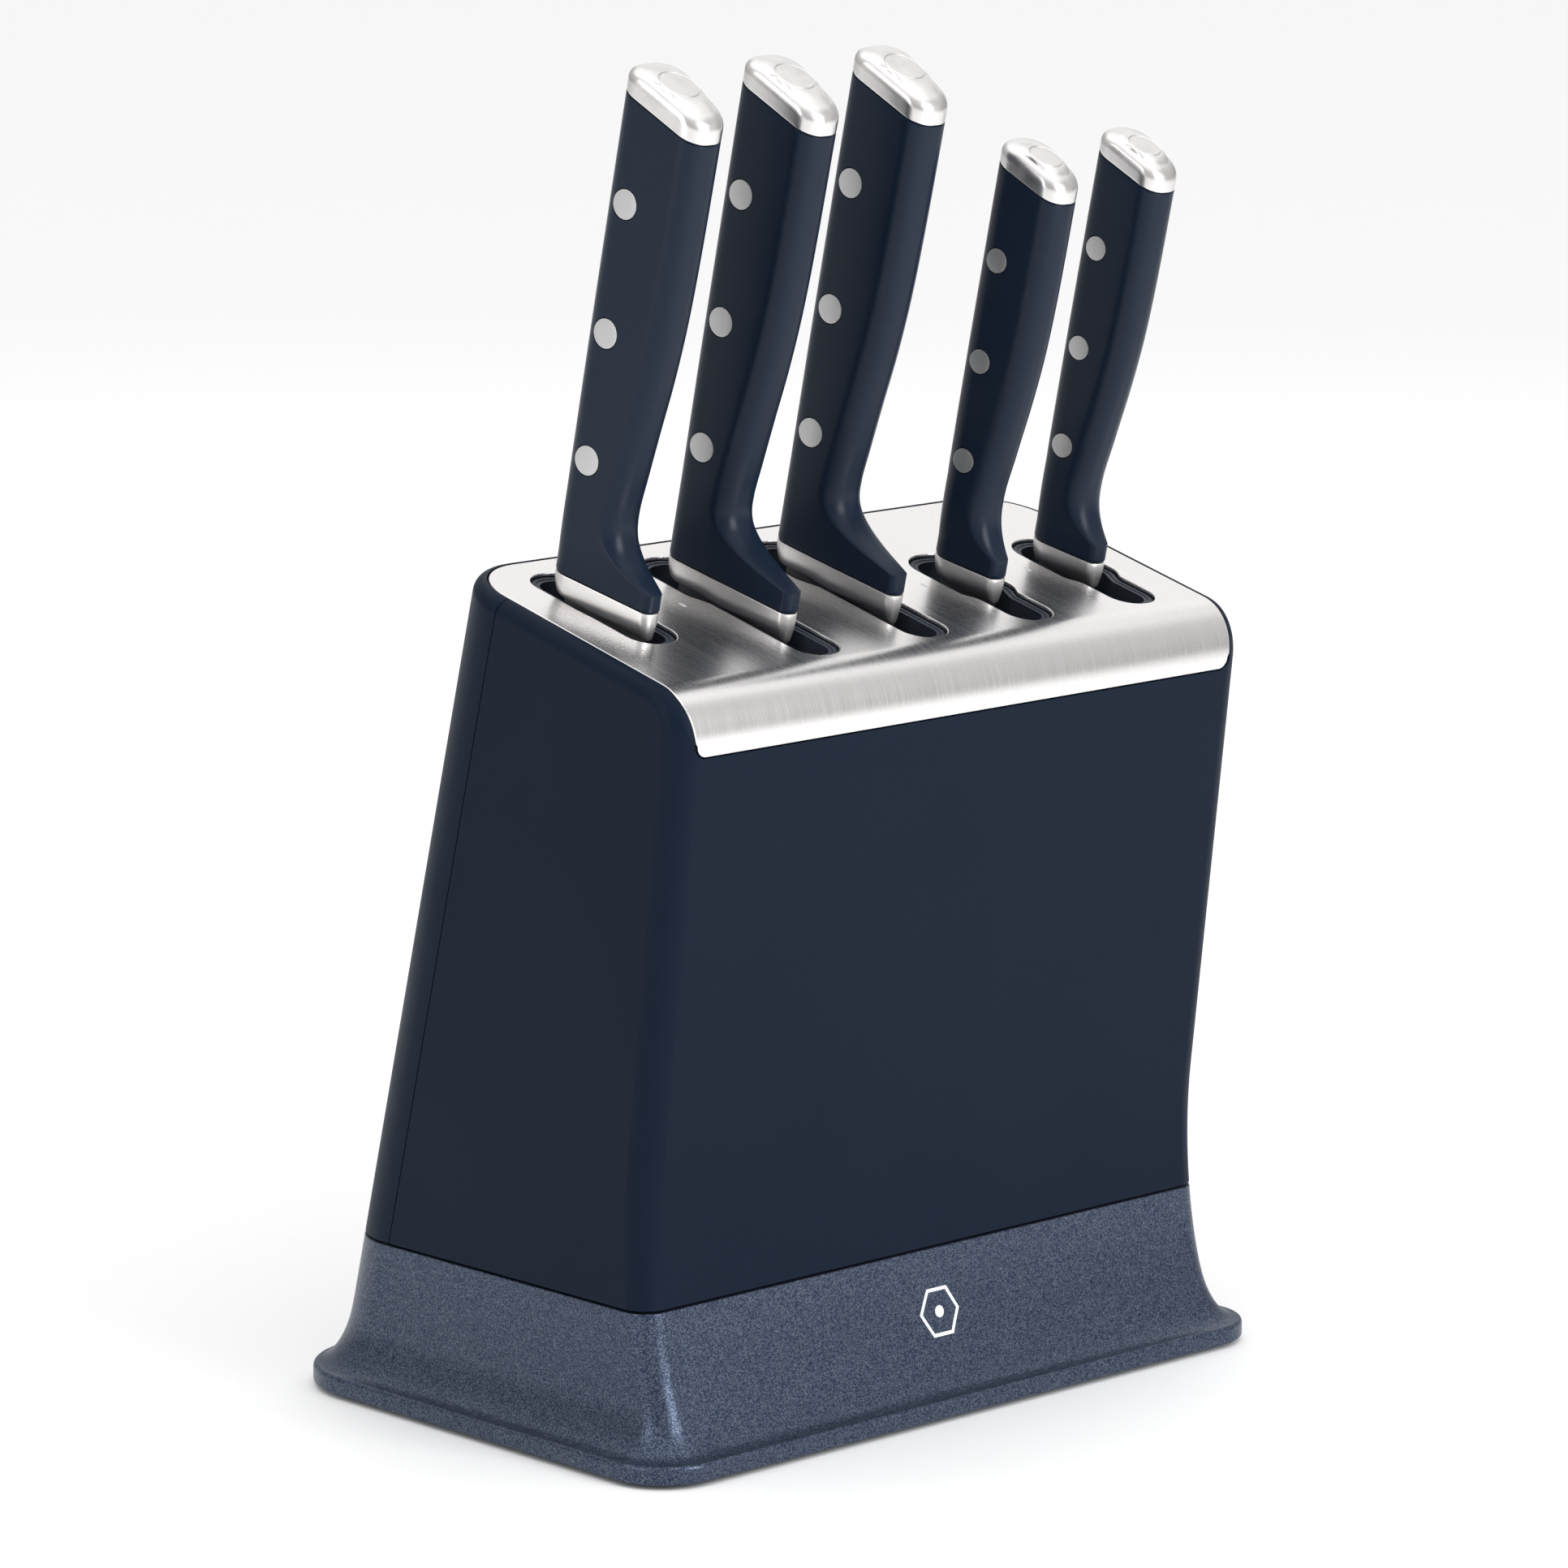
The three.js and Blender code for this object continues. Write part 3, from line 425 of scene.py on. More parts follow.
def skirt_ring(z, inset, line_z=None):
    """Outline of the skirt at height z, set in by inset; line_z is the height its lines are read at."""
    front, back, end = wall_lines(max(FLARE_FOOT, z if line_z is None else line_z))
    flared = (end - BODY_HALF_WIDTH) / (FLANGE_HALF_WIDTH - BODY_HALF_WIDTH)
    front_radius = blend(BODY_FRONT_RADIUS, FLANGE_FRONT_RADIUS, flared) - inset
    back_radius = blend(BODY_BACK_RADIUS, FLANGE_BACK_RADIUS, flared) - inset
    half = end - inset
    outline = filleted([
        (-half, front + inset, front_radius, 10),
        (half, front + inset, front_radius, 10),
        (half, back - inset, back_radius, 16),
        (-half, back - inset, back_radius, 16),
    ], [8, 6, 8, 6])
    return [(point.x, point.y, z) for point in outline]


def skirt_shape(soft):
    """Base skirt: flange with softened edges, flare, joint edge and the inside of the wall."""
    under = FLANGE_UNDER_SOFT
    joint = JOINT_HEIGHT - GAP
    # the first row stops just short of the quarter turn, so it has a little height
    rows = [
        skirt_ring(FLANGE_BOTTOM + under * (1 - math.sin(a)), under * (1 - math.cos(a)) - FLANGE_SOFT)
        for a in spread(0.98 * math.pi / 2, 0, 4)
    ]
    rows += [
        skirt_ring(blend(FLANGE_EDGE_TOP, FLARE_FOOT, math.sin(a)), -FLANGE_SOFT * math.cos(a))
        for a in quarter(6)
    ]
    rows += [skirt_ring(z, 0) for z in spread(FLARE_FOOT, joint - soft, 30, 2.2)[1:]]
    rows += [
        skirt_ring(joint - soft * (1 - math.sin(a)), soft * (1 - math.cos(a)))
        for a in quarter(SOFT_STEPS)[1:]
    ]
    rows += [skirt_ring(z, SKIRT_WALL) for z in (joint, *SKIRT_INSIDE_HEIGHTS)]
    rows += [skirt_ring(z, SKIRT_WALL, FLARE_FOOT) for z in (5, FLANGE_BOTTOM)]
    shape = Shape()
    shape.loft(rows, wrap=True)
    return shape


def roll_start(radius, edge_in):
    """Angle on an edge roll where it meets a cut that lies edge_in from the outer wall."""
    return math.asin(max(0.0, 1 - edge_in / radius))


def plate_half(along, grow=0.0):
    """Half the plate's width at a length along the flat sheet."""
    height = (SLOPE.inverted() @ fold(0, along, 0)).z
    low = (SLOPE.inverted() @ fold(0, LIP_END, 0)).z
    part = max(0.0, min(1.0, (height + PLATE_THICKNESS) / (low + PLATE_THICKNESS)))
    return blend(PLATE_HALF_WIDTH, PLATE_LIP_HALF_WIDTH, part) + grow


def front_stations(soft):
    """Side view of the front shell, from the seam over the bend and down to the joint.

    Each station is (point, inward, roll radius, half width of the cut for the plate, inset);
    the count of the stations that the plate covers comes with them."""
    seam = SLOPE_SEAM + GAP
    down_in = SLOPE.to_3x3() @ Vector((0, 0, -1))
    start_angle = math.atan2(down_in.z, down_in.y)
    stations = []
    corner_start = LIP_END - PLATE_LIP_RADIUS
    lengths = spread(seam, BEND_START, 3) + spread(BEND_START, corner_start, 16)[1:]
    lengths += [BEND_END, LIP_END + GAP]
    for along in lengths:
        part = max(0.0, min(1.0, (along - BEND_START) / (BEND_END - BEND_START)))
        angle = start_angle * (1 - part)
        inward = Vector((0, math.cos(angle), math.sin(angle)))
        radius = blend(BODY_TOP_RADIUS, BODY_FRONT_RADIUS, smooth(part))
        stations.append((fold(0, along, 0), inward, radius, plate_half(along, GAP), 0.0))
    lip_z, lip_half = stations[-1][0].z, stations[-1][3]
    joint = JOINT_HEIGHT + GAP
    heights = spread(lip_z, FRONT_FLARE_TOP, 4)[1:] + spread(FRONT_FLARE_TOP, joint + soft, 14)[1:]
    insets = [0.0] * len(heights)
    for a in quarter(SOFT_STEPS)[1:]:
        heights.append(joint + soft * (1 - math.sin(a)))
        insets.append(soft * (1 - math.cos(a)))
    for z, inset in zip(heights, insets):
        point = Vector((0, wall_lines(z)[0], z))
        stations.append((point, Vector((0, 1, 0)), BODY_FRONT_RADIUS, lip_half, inset))
    return stations, len(lengths)


def roll_points(station, side, steps=9):
    """Rolled edge from the plate's cut out to the end wall."""
    point, inward, radius, cut_half, inset = station
    half = BODY_HALF_WIDTH - inset
    radius -= inset
    first = roll_start(radius, half - cut_half)
    points = []
    for a in spread(first, math.pi / 2, steps):
        across = Vector((side * (half - radius + radius * math.sin(a)), 0, 0))
        points.append(point + inward * (inset + radius * (1 - math.cos(a))) + across)
    return points


def face_points(station, corner_x):
    """Front face between the two places where the plate's cut would be."""
    point, inward, radius, cut_half, inset = station
    half = BODY_HALF_WIDTH - inset
    radius -= inset
    last = roll_start(radius, half - cut_half)
    roll = [
        (half - radius + radius * math.sin(a), inset + radius * (1 - math.cos(a)))
        for a in spread(0, last, FACE_STEPS)
    ]
    across = [(corner_x, inset)] + roll
    right = [point + inward * depth + Vector((x, 0, 0)) for x, depth in across]
    left = [point + inward * depth - Vector((x, 0, 0)) for x, depth in reversed(across)]
    return left + right


def seam_point(side, z, inset):
    """Where the seam meets a height on an end wall."""
    height = (z - PLATE_BACK_Z + (SLOPE_SEAM + GAP) * math.sin(LEAN)) / math.cos(LEAN)
    return on_slope(side * (BODY_HALF_WIDTH - inset), SLOPE_SEAM + GAP, height)


def front_shell_shape(soft):
    """Front, both ends and their rolled edges, with the cut for the plate's bend and lip."""
    stations, with_cut = front_stations(soft)
    lip = with_cut - 1
    shape = Shape()
    corner_x = stations[lip][3] - PLATE_LIP_RADIUS - GAP
    sides = {side: [shape.row(roll_points(station, side)) for station in stations] for side in (-1, 1)}
    for rows in sides.values():
        for one, two in zip(rows, rows[1:]):
            shape.skin(one, two, closed=False)
    faces = [shape.row(face_points(station, corner_x)) for station in stations[lip:]]
    for one, two in zip(faces, faces[1:]):
        shape.skin(one, two, closed=False)
    for side in (-1, 1):
        # the little web left inside the cut's rounded corner
        across = stations[lip - 2][3] - corner_x
        rounding = PLATE_LIP_RADIUS + GAP
        arc = [
            fold(side * (corner_x + across * math.cos(a)), LIP_END + GAP - rounding * (1 - math.sin(a)), 0)
            for a in quarter(8)
        ]
        floor = face_points(stations[lip], corner_x)
        along_floor = floor[-FACE_STEPS - 1:] if side > 0 else list(reversed(floor[:FACE_STEPS + 1]))
        web = [roll_points(station, side)[0] for station in stations[lip - 2:lip + 1]]
        shape.faces.append(tuple(shape.row(web + list(reversed(arc[1:-1] + along_floor[:-1])))))
        # the flat end, from the rolled edge back to the seam
        wall = [row[-1] for row in sides[side]]
        low = len(wall) - SOFT_STEPS
        seam = shape.row([
            seam_point(side, shape.points[wall[k]].z, stations[k][4]) for k in range(low - 1, len(wall))
        ])
        shape.faces.append(tuple(wall[:low] + [seam[0]]))
        shape.skin(wall[low - 1:], seam, closed=False)
    return shape


def rear_stations():
    """Right half of the rear shell from the seam to the middle: wall point, plate edge and roll radius."""
    across = BODY_BACK_RADIUS
    along = BODY_BACK_RADIUS * math.cos(LEAN)
    centre = BODY_HALF_WIDTH - across
    plate_centre = PLATE_HALF_WIDTH + GAP - PLATE_BACK_RADIUS
    stations = []
    for down in (SLOPE_SEAM, SLOPE_SEAM - SEAM_BAND):
        wall, edge = Vector((BODY_HALF_WIDTH, down)), Vector((PLATE_HALF_WIDTH + GAP, down))
        stations.append((wall, edge, BODY_TOP_RADIUS))
    for a in quarter(16):
        wall = Vector((centre + across * math.cos(a), BACK_DOWN + along * (1 - math.sin(a))))
        edge = Vector((
            plate_centre + PLATE_BACK_RADIUS * math.cos(a), PLATE_BACK_RADIUS * (1 - math.sin(a)) - GAP,
        ))
        radius = blend(BODY_TOP_RADIUS, BODY_BACK_TOP_RADIUS, smooth(a / (math.pi / 2)))
        stations.append((wall, edge, radius))
    stations.append((Vector((0, BACK_DOWN)), Vector((0, -GAP)), BODY_BACK_TOP_RADIUS))
    return stations


def rear_shell_shape(soft):
    """Back wall and both rear corners: edge roll, wall and a softened lower edge."""
    shape = Shape()
    joint = JOINT_HEIGHT + GAP
    columns = []
    for wall, edge, radius in rear_stations():
        inward = (edge - wall).normalized()
        first = roll_start(radius, (edge - wall).length)
        column = []
        for a in spread(first, math.pi / 2, 9):
            place = wall + inward * radius * (1 - math.sin(a))
            column.append(on_slope(place.x, place.y, -radius * (1 - math.cos(a))))
        for a in quarter(SOFT_STEPS):
            place = wall + inward * soft * (1 - math.cos(a))
            z = joint + soft * (1 - math.sin(a))
            height = (z - PLATE_BACK_Z + place.y * math.sin(LEAN)) / math.cos(LEAN)
            column.append(on_slope(place.x, place.y, height))
        columns.append(column)
    mirrored = [[Vector((-p.x, p.y, p.z)) for p in column] for column in reversed(columns[:-1])]
    shape.loft(columns + mirrored, closed=False)
    return shape


# ---- plate and slots ----


def slot_outline(knife, grow):
    """Outline of a slot in its plate, made wider by grow."""
    slot = knife["slot"]
    wide, narrow = slot["wide"] + grow, slot["narrow"] + grow
    step_back, step_front = slot["step"]
    right = [
        (narrow, -slot["front"] - grow, narrow - SLOT_FRONT_FLAT, 10),
        (narrow, -step_front, SLOT_STEP_RADIUS, 5),
        (wide, -step_back - grow / 2, SLOT_STEP_RADIUS, 5),
        (wide, -slot["back"] + grow, wide - SLOT_BACK_FLAT, 10),
    ]
    left = [(-x, y, radius, steps) for x, y, radius, steps in reversed(right)]
    return [(knife["x"] + point.x, -point.y) for point in filleted(left + right)]


BACK_STEPS = 14  # cuts in each rear corner of the plate
BEND_ROWS = spread(BEND_START, LIP_END - PLATE_LIP_RADIUS, 18)


def plate_outline(inset):
    """Outline of the flat sheet as (across, along), set in by inset."""
    back_centre = PLATE_HALF_WIDTH - PLATE_BACK_RADIUS
    radius = PLATE_BACK_RADIUS - inset
    right = [
        (back_centre + radius * math.sin(a), PLATE_BACK_RADIUS - radius * math.cos(a))
        for a in quarter(BACK_STEPS)
    ]
    right += [(plate_half(along) - inset, along) for along in BEND_ROWS[:-1]]
    lip_radius = PLATE_LIP_RADIUS - inset
    right += [
        (PLATE_LIP_HALF_WIDTH - PLATE_LIP_RADIUS + lip_radius * math.cos(a),
         LIP_END - PLATE_LIP_RADIUS + lip_radius * math.sin(a))
        for a in quarter(7)
    ]
    return right + [(-x, along) for x, along in reversed(right)]


def plate_shape(edge):
    """Steel plate: one face with five slots, folded over the bend, with rounded edges all round."""
    shape = Shape()
    thick = PLATE_THICKNESS
    small = edge / 2  # rounding of the hidden lower edges
    profile = [(edge * (1 - math.sin(a)), edge * (1 - math.cos(a))) for a in quarter(4)]
    profile += [(0, thick - small), (small * 0.3, thick - small * 0.3), (small, thick)]
    first, last = [], []
    outlines = [plate_outline] + [
        lambda inset, knife=knife: slot_outline(knife, inset) for knife in KNIVES
    ]
    for outline in outlines:
        rows = shape.loft([
            [fold(x, along, depth) for x, along in outline(inset)] for inset, depth in profile
        ])
        first.append((rows[0], outline(edge)))
        last.append((rows[-1], outline(small)))
    # the upper and lower faces are triangulated between the outline and the slots
    for loops, flip in ((first, False), (last, True)):
        flat_points, index, edges = [], [], []
        for row, places in loops:
            start = len(flat_points)
            flat_points += [Vector(place) for place in places]
            index += row
            edges += [(start + i, start + (i + 1) % len(row)) for i in range(len(row))]
        count = len(loops[0][0])
        # straight rows across the bend let the triangles follow its curve
        edges += [(i, count - 1 - i) for i in range(BACK_STEPS + 1, count // 2 - 1)]
        found = delaunay_2d_cdt(flat_points, edges, [], 1, 1e-6)
        if len(found[0]) != len(flat_points):
            raise RuntimeError("the plate's outline crosses itself")
        holes = [places for _, places in loops[1:]]
        for triangle in found[2]:
            middle = sum((found[0][i] for i in triangle), Vector((0, 0))) / 3
            if any(inside(middle, hole) for hole in holes):
                continue
            corners = [index[found[3][i][0]] for i in triangle]
            shape.faces.append(tuple(reversed(corners)) if flip else tuple(corners))
    return shape


def inside(point, outline):
    """Whether a point lies inside a closed outline."""
    odd = False
    for (x1, y1), (x2, y2) in zip(outline, outline[1:] + outline[:1]):
        if (y1 > point.y) != (y2 > point.y) and point.x < x1 + (x2 - x1) * (point.y - y1) / (y2 - y1):
            odd = not odd
    return odd


def liner_shape(knife, step, soft):
    """Slot liner: a rim below the plate, a step inside it and the chute down to the blade guide."""
    rim = -LINER_RECESS
    outer = -GAP
    inner = -LINER_WALL
    middle = (outer + inner) / 2
    profile = [(outer, -LINER_DEPTH), (outer, rim - soft)]
    for a in quarter(SOFT_STEPS)[1:]:
        profile.append((outer - soft * (1 - math.cos(a)), rim - soft * (1 - math.sin(a))))
    profile += [(middle, rim), (middle - step * LINER_STEP_SLANT, rim - step)]
    for a in reversed(quarter(SOFT_STEPS)):
        profile.append((inner + soft * math.cos(a), rim - step - soft * (1 - math.sin(a))))
    profile.append((inner, -LINER_DEPTH))
    shape = Shape()
    shape.loft([
        [on_slope(x, along, height) for x, along in slot_outline(knife, grow)] for grow, height in profile
    ], wrap=True)
    return shape


# ---- knives, each in its own frame: b away from the spine, a up along the handle ----


def knife_matrix(knife):
    """Places a knife's own frame in the block's."""
    place = Matrix.Translation((knife["x"], -knife["offset"], knife["rise"]))
    return SLOPE @ place @ Matrix.Rotation(-KNIFE_TILT, 4, "X")


def in_knife(knife, x, b, a):
    """Point of a knife in the block's frame."""
    return knife_matrix(knife) @ Vector((x, -b, a))


def belly_at(knife, height):
    """Distance from the spine to the belly, on a smooth curve through the handle's stations."""
    belly = knife["size"]["belly"]
    first_height, first = belly[0]
    if height <= first_height:
        rise = min(1.0, (first_height - height) / (first_height - GUARD_LOW))
        return first + (knife["guard"] - first) * rise ** GUARD_POWER
    if height >= belly[-1][0]:
        return belly[-1][1]
    i = next(k for k in range(1, len(belly)) if height <= belly[k][0])
    slopes = [(b[1] - a[1]) / (b[0] - a[0]) for a, b in zip(belly, belly[1:])]
    tangents = [0.0] + [(a + b) / 2 for a, b in zip(slopes, slopes[1:])] + [slopes[-1]]
    (a0, b0), (a1, b1) = belly[i - 1], belly[i]
    span = a1 - a0
    t = (height - a0) / span
    return (
        b0 * (2 * t ** 3 - 3 * t * t + 1) + tangents[i - 1] * span * (t ** 3 - 2 * t * t + t)
        + b1 * (3 * t * t - 2 * t ** 3) + tangents[i] * span * (t ** 3 - t * t)
    )


def handle_ring(knife, height, slope, inset=0.0, ends=1.0):
    """Wedge-shaped section of the handle as (x, b) points.

    It is set in by inset at the sides, and by ends times that at the spine and the belly."""
    size = knife["size"]
    belly = size["neck"]
    for _ in range(BELLY_ROUNDS):
        belly = belly_at(knife, height + slope * belly)
    over_neck = max(0.0, (belly - size["neck"]) / (knife["guard"] - size["neck"]))
    at_guard = min(1.0, over_neck) if height < GUARD_TOP else 0.0
    half = blend(size["belly_half"], size["guard_half"], at_guard) - inset
    spine = size["spine_half"] - inset
    spine_radius = min(HANDLE_EDGE, SPINE_ROUND_SHARE * spine)
    belly_radius = min(HANDLE_EDGE, half - BELLY_FLAT)
    points = filleted([
        (spine, -inset * ends, spine_radius, EDGE_STEPS),
        (-spine, -inset * ends, spine_radius, EDGE_STEPS),
        (-half, -belly + inset * ends, belly_radius, EDGE_STEPS),
        (half, -belly + inset * ends, belly_radius, EDGE_STEPS),
    ], [4, 12, 2, 12])
    return [(point.x, -point.y) for point in points]


def handle_rows(knife, levels):
    """Rows in the block's frame for (height, slope, inset, ends) levels."""
    rows = []
    for height, slope, inset, ends in levels:
        ring = handle_ring(knife, height, slope, inset, ends)
        rows.append([in_knife(knife, x, b, height + slope * b) for x, b in ring])
    return rows


def side_half(knife, b, a):
    """Half the handle's thickness on its flat side."""
    size = knife["size"]
    return blend(size["spine_half"], size["belly_half"], b / belly_at(knife, a))


def grip_shape(knife, soft):
    """Handle moulding, from the guard over the bolster up to the end cap."""
    size = knife["size"]
    low, top = size["foot"], size["top"]
    heights = spread(low + soft, HEEL_TOP, 26) + spread(HEEL_TOP, top - soft, 34)[1:]

    def slope_at(height):
        return blend(FOOT_SLOPE, CAP_SLOPE, smooth((height - SLOPE_TURNS) / (top - SLOPE_TURNS)))

    edge = soft * 0.7
    levels = [(low, FOOT_SLOPE, edge, 1.0), (low + soft * 0.3, FOOT_SLOPE, edge * 0.3, 1.0)]
    levels += [(height, slope_at(height), 0.0, 1.0) for height in heights]
    levels += [(top - soft * 0.3, CAP_SLOPE, edge * 0.3, 1.0), (top, CAP_SLOPE, edge, 1.0)]
    shape = Shape()
    shape.loft(handle_rows(knife, levels), capped=True)
    return shape


def cap_shape(knife, soft, groove):
    """End cap: soft lower edge, straight sides, rounded shoulder, and an engraved ring in a crowned top."""
    size = knife["size"]
    base, height = size["top"] + GAP, size["height"]
    straight = height - CAP_ROLL_RISE - CAP_CROWN
    edge = soft * 0.6
    levels = [(base, CAP_SLOPE, edge, 1.0), (base + edge * 0.3, CAP_SLOPE, edge * 0.3, 1.0)]
    levels += [(base + h, CAP_SLOPE, 0.0, 1.0) for h in spread(edge, straight, 4)]
    for a in spread(0, CAP_ROLL_TURN, 12)[1:]:
        inset = CAP_ROLL * (1 - math.cos(a))
        levels.append((base + straight + CAP_ROLL_RISE * math.sin(a), CAP_SLOPE, inset, CAP_ENDS))
    shape = Shape()
    rows = shape.loft(handle_rows(knife, levels))
    shape.faces.append(tuple(rows[0]))
    rim = handle_ring(knife, *levels[-1])
    rim_top = levels[-1][0]
    radius = size["ring"]
    centre = Vector((0, RING_DEPTH_IN * size["spine_half"] / LARGE["spine_half"]))
    line, floor = RING_LINE_HALF, RING_LINE_HALF * 0.3
    # each loop is (radius of the ring, part of the way from the rim to it, depth sunk)
    loops = [(radius + line, part, 0.0) for part in spread(0, 1, 7)[1:]]
    loops += [(radius + floor, 1.0, groove), (radius - floor, 1.0, groove), (radius - line, 1.0, 0.0)]
    loops += [(radius * 0.5, 1.0, -0.75 * RING_MIDDLE_RISE), (0.01, 1.0, -RING_MIDDLE_RISE)]
    previous = rows[-1]
    for ring_radius, part, sunk in loops:
        rise = CAP_CROWN * (1 - (1 - part) ** 2) - sunk
        points = []
        for x, b in rim:
            arm = (Vector((x, b)) - centre).normalized()
            place = Vector((x, b)).lerp(centre + arm * ring_radius, part)
            points.append(in_knife(knife, place.x, place.y, rim_top + rise + CAP_SLOPE * place.y))
        row = shape.row(points)
        shape.skin(previous, row)
        previous = row
    shape.faces.append(tuple(previous))
    return shape


def bolster_shape(knife, soft):
    """Bolster: it carries the handle's wedge on, upright at first, and tucks in towards the slot."""
    size = knife["size"]
    low = size["foot"]

    def ring(part, inset):
        tuck = (1 - part) ** BOLSTER_TUCK_POWER
        spine = size["spine_half"] - BOLSTER_TUCK * tuck - inset
        front = blend(size["guard_half"], BOLSTER_FRONT, tuck) - inset
        start = BOLSTER_END_TUCK * tuck + inset
        end = knife["guard"] - BOLSTER_END_TUCK * tuck - inset
        height = blend(low - BOLSTER_DROP, low - GAP, part)
        slope = blend(BOLSTER_FOOT_SLOPE, FOOT_SLOPE, part)
        spine_radius = min(HANDLE_EDGE, SPINE_ROUND_SHARE * spine)
        points = filleted([
            (spine, -start, spine_radius, EDGE_STEPS),
            (-spine, -start, spine_radius, EDGE_STEPS),
            (-front, -end, front - 0.1, 6),
            (front, -end, front - 0.1, 6),
        ], [3, 8, 1, 8])
        return [in_knife(knife, p.x, -p.y, height + slope * -p.y) for p in points]

    # the lower edge is eased over its first tenth, the joint with the grip by the soft edge
    top = 1 - soft / BOLSTER_DROP
    rows = [ring(0, 0.4), ring(0.02, 0.12)] + [ring(part, 0) for part in spread(0.06, top, 10)]
    rows += [ring(blend(top, 1, 0.7), soft * 0.3), ring(1, soft)]
    shape = Shape()
    shape.loft(rows, capped=True)
    return shape


def blade_shape(knife):
    """Ground blade: eased spine, flat sides, wedge grind and a fine cutting bevel."""
    rows = []
    heel = knife["size"]["foot"] - BLADE_HEEL
    for t in spread(1, 0, 44, 0.8):  # from the tip, at 1, to the heel, at 0
        spine = BLADE_SPINE_IN + knife["spine_drop"] * t ** knife["spine_power"]
        edge = max(knife["depth"] - knife["edge_rise"] * t ** knife["edge_power"], spine + BLADE_TIP)
        thick = BLADE_HALF * (1 - BLADE_THINNING * t)
        shoulder = blend(spine, edge, GRIND_START)
        bevel = min(0.45, EDGE_BEVEL / (edge - shoulder))  # the bevel takes less than half the grind
        right = [
            (thick - SPINE_EASE, spine), (thick, spine + SPINE_EASE), (thick, shoulder),
            (BEVEL_HALF, blend(shoulder, edge, 1 - bevel)), (EDGE_HALF, edge),
        ]
        outline = right + [(-x, b) for x, b in reversed(right)]
        slope = HEEL_SLOPE * (1 - t)
        rows.append([in_knife(knife, x, b, heel - t * knife["length"] + slope * b) for x, b in outline])
    shape = Shape()
    shape.loft(rows, capped=True)
    return shape


def rivet_ring(knife, height, reach, across):
    """Circle round a rivet's axis; across gives its x from b and a."""
    ring = []
    for k in range(ROUND_STEPS):
        turn = 2 * math.pi * k / ROUND_STEPS
        b = knife["size"]["rivet_depth"] + reach * math.cos(turn)
        a = height + reach * math.sin(turn)
        ring.append(in_knife(knife, across(b, a), b, a))
    return ring


def rivet_shape(knife, height, dome, soft):
    """Rivet with a slightly domed head flush with each side of the handle."""
    radius = knife["size"]["rivet_radius"]
    edge = soft / 2
    # (distance from the axis, height over the handle's side), from the middle of the head to its edge
    profile = [(0.02, dome), (radius * 0.5, dome * 0.75), (radius - edge, 0.0),
               (radius - edge * 0.3, -edge * 0.3), (radius, -edge)]
    heads = []
    for side in (-1, 1):
        heads.append([
            rivet_ring(knife, height, reach, lambda b, a: side * (side_half(knife, b, a) + lift))
            for reach, lift in profile
        ])
    shape = Shape()
    shape.loft(heads[0] + list(reversed(heads[1])), capped=True)
    return shape


def rivet_cutter(knife, gap):
    """Cylinders that leave a thin dark line round each rivet."""
    radius = knife["size"]["rivet_radius"] + gap
    shape = Shape()
    for height in knife["size"]["rivets"]:
        ends = (-CUTTER_REACH, CUTTER_REACH)
        shape.loft([rivet_ring(knife, height, radius, lambda b, a: x) for x in ends], capped=True)
    return shape


# ---- small marks ----


def circle(radius, turn):
    """Distance from the middle to a circle."""
    return radius


def hexagon(radius, turn):
    """Distance from the middle to a hexagon with this corner radius."""
    sector = math.pi / 3
    return radius * math.cos(sector / 2) / math.cos(turn % sector - sector / 2)


def badge_ring(outline, radius, lift):
    """Row of the badge on the skirt's front flare, lifted off it by lift."""
    points = []
    for k in range(BADGE_STEPS):
        turn = 2 * math.pi * k / BADGE_STEPS
        reach = outline(radius, turn)
        z = BADGE_HEIGHT + reach * math.sin(turn)
        points.append((reach * math.cos(turn), on_flare("front", z) - lift, z))
    return points


def badge_shape(corner_to_corner):
    """Printed badge on the skirt: a six-sided frame with a dot, laid on the flare."""
    outer = corner_to_corner / 2
    shape = Shape()
    for outline, low, high in ((hexagon, outer - BADGE_LINE, outer), (circle, 0.02, BADGE_DOT)):
        edges = ((low, -PRINT_RAISE), (low, PRINT_RAISE), (high, PRINT_RAISE), (high, -PRINT_RAISE))
        shape.loft([badge_ring(outline, radius, lift) for radius, lift in edges], wrap=True)
    return shape


def etched_dash(knife):
    """Short etched dash on the plate, left of a slot's back end."""
    x, along = knife["x"] - knife["slot"]["wide"] - DASH_BESIDE, DASHES[knife["name"]]
    half_x, half_y = DASH_HALF
    corners = [(-half_x, -half_y), (half_x, -half_y), (half_x, half_y), (-half_x, half_y)]
    outline = filleted([(*corner, DASH_ROUND, 5) for corner in corners])
    shape = Shape()
    # a hair over the steel, so that it shows; the edge is slightly drawn in
    shape.loft([
        [on_slope(x + p.x * grow, along + p.y * grow, height) for p in outline]
        for grow, height in ((1, -0.02), (1, 0.01), (0.9, 0.02))
    ], capped=True)
    return shape


# ---- making pieces ----


def settle(obj):
    """Weld a piece whose mesh is final and turn its faces outwards."""
    work = bmesh.new()
    work.from_mesh(obj.data)
    bmesh.ops.remove_doubles(work, verts=work.verts, dist=WELD * MM)
    bmesh.ops.dissolve_degenerate(work, edges=work.edges, dist=WELD * MM / 2)
    bmesh.ops.recalc_face_normals(work, faces=work.faces)
    work.to_mesh(obj.data)
    work.free()


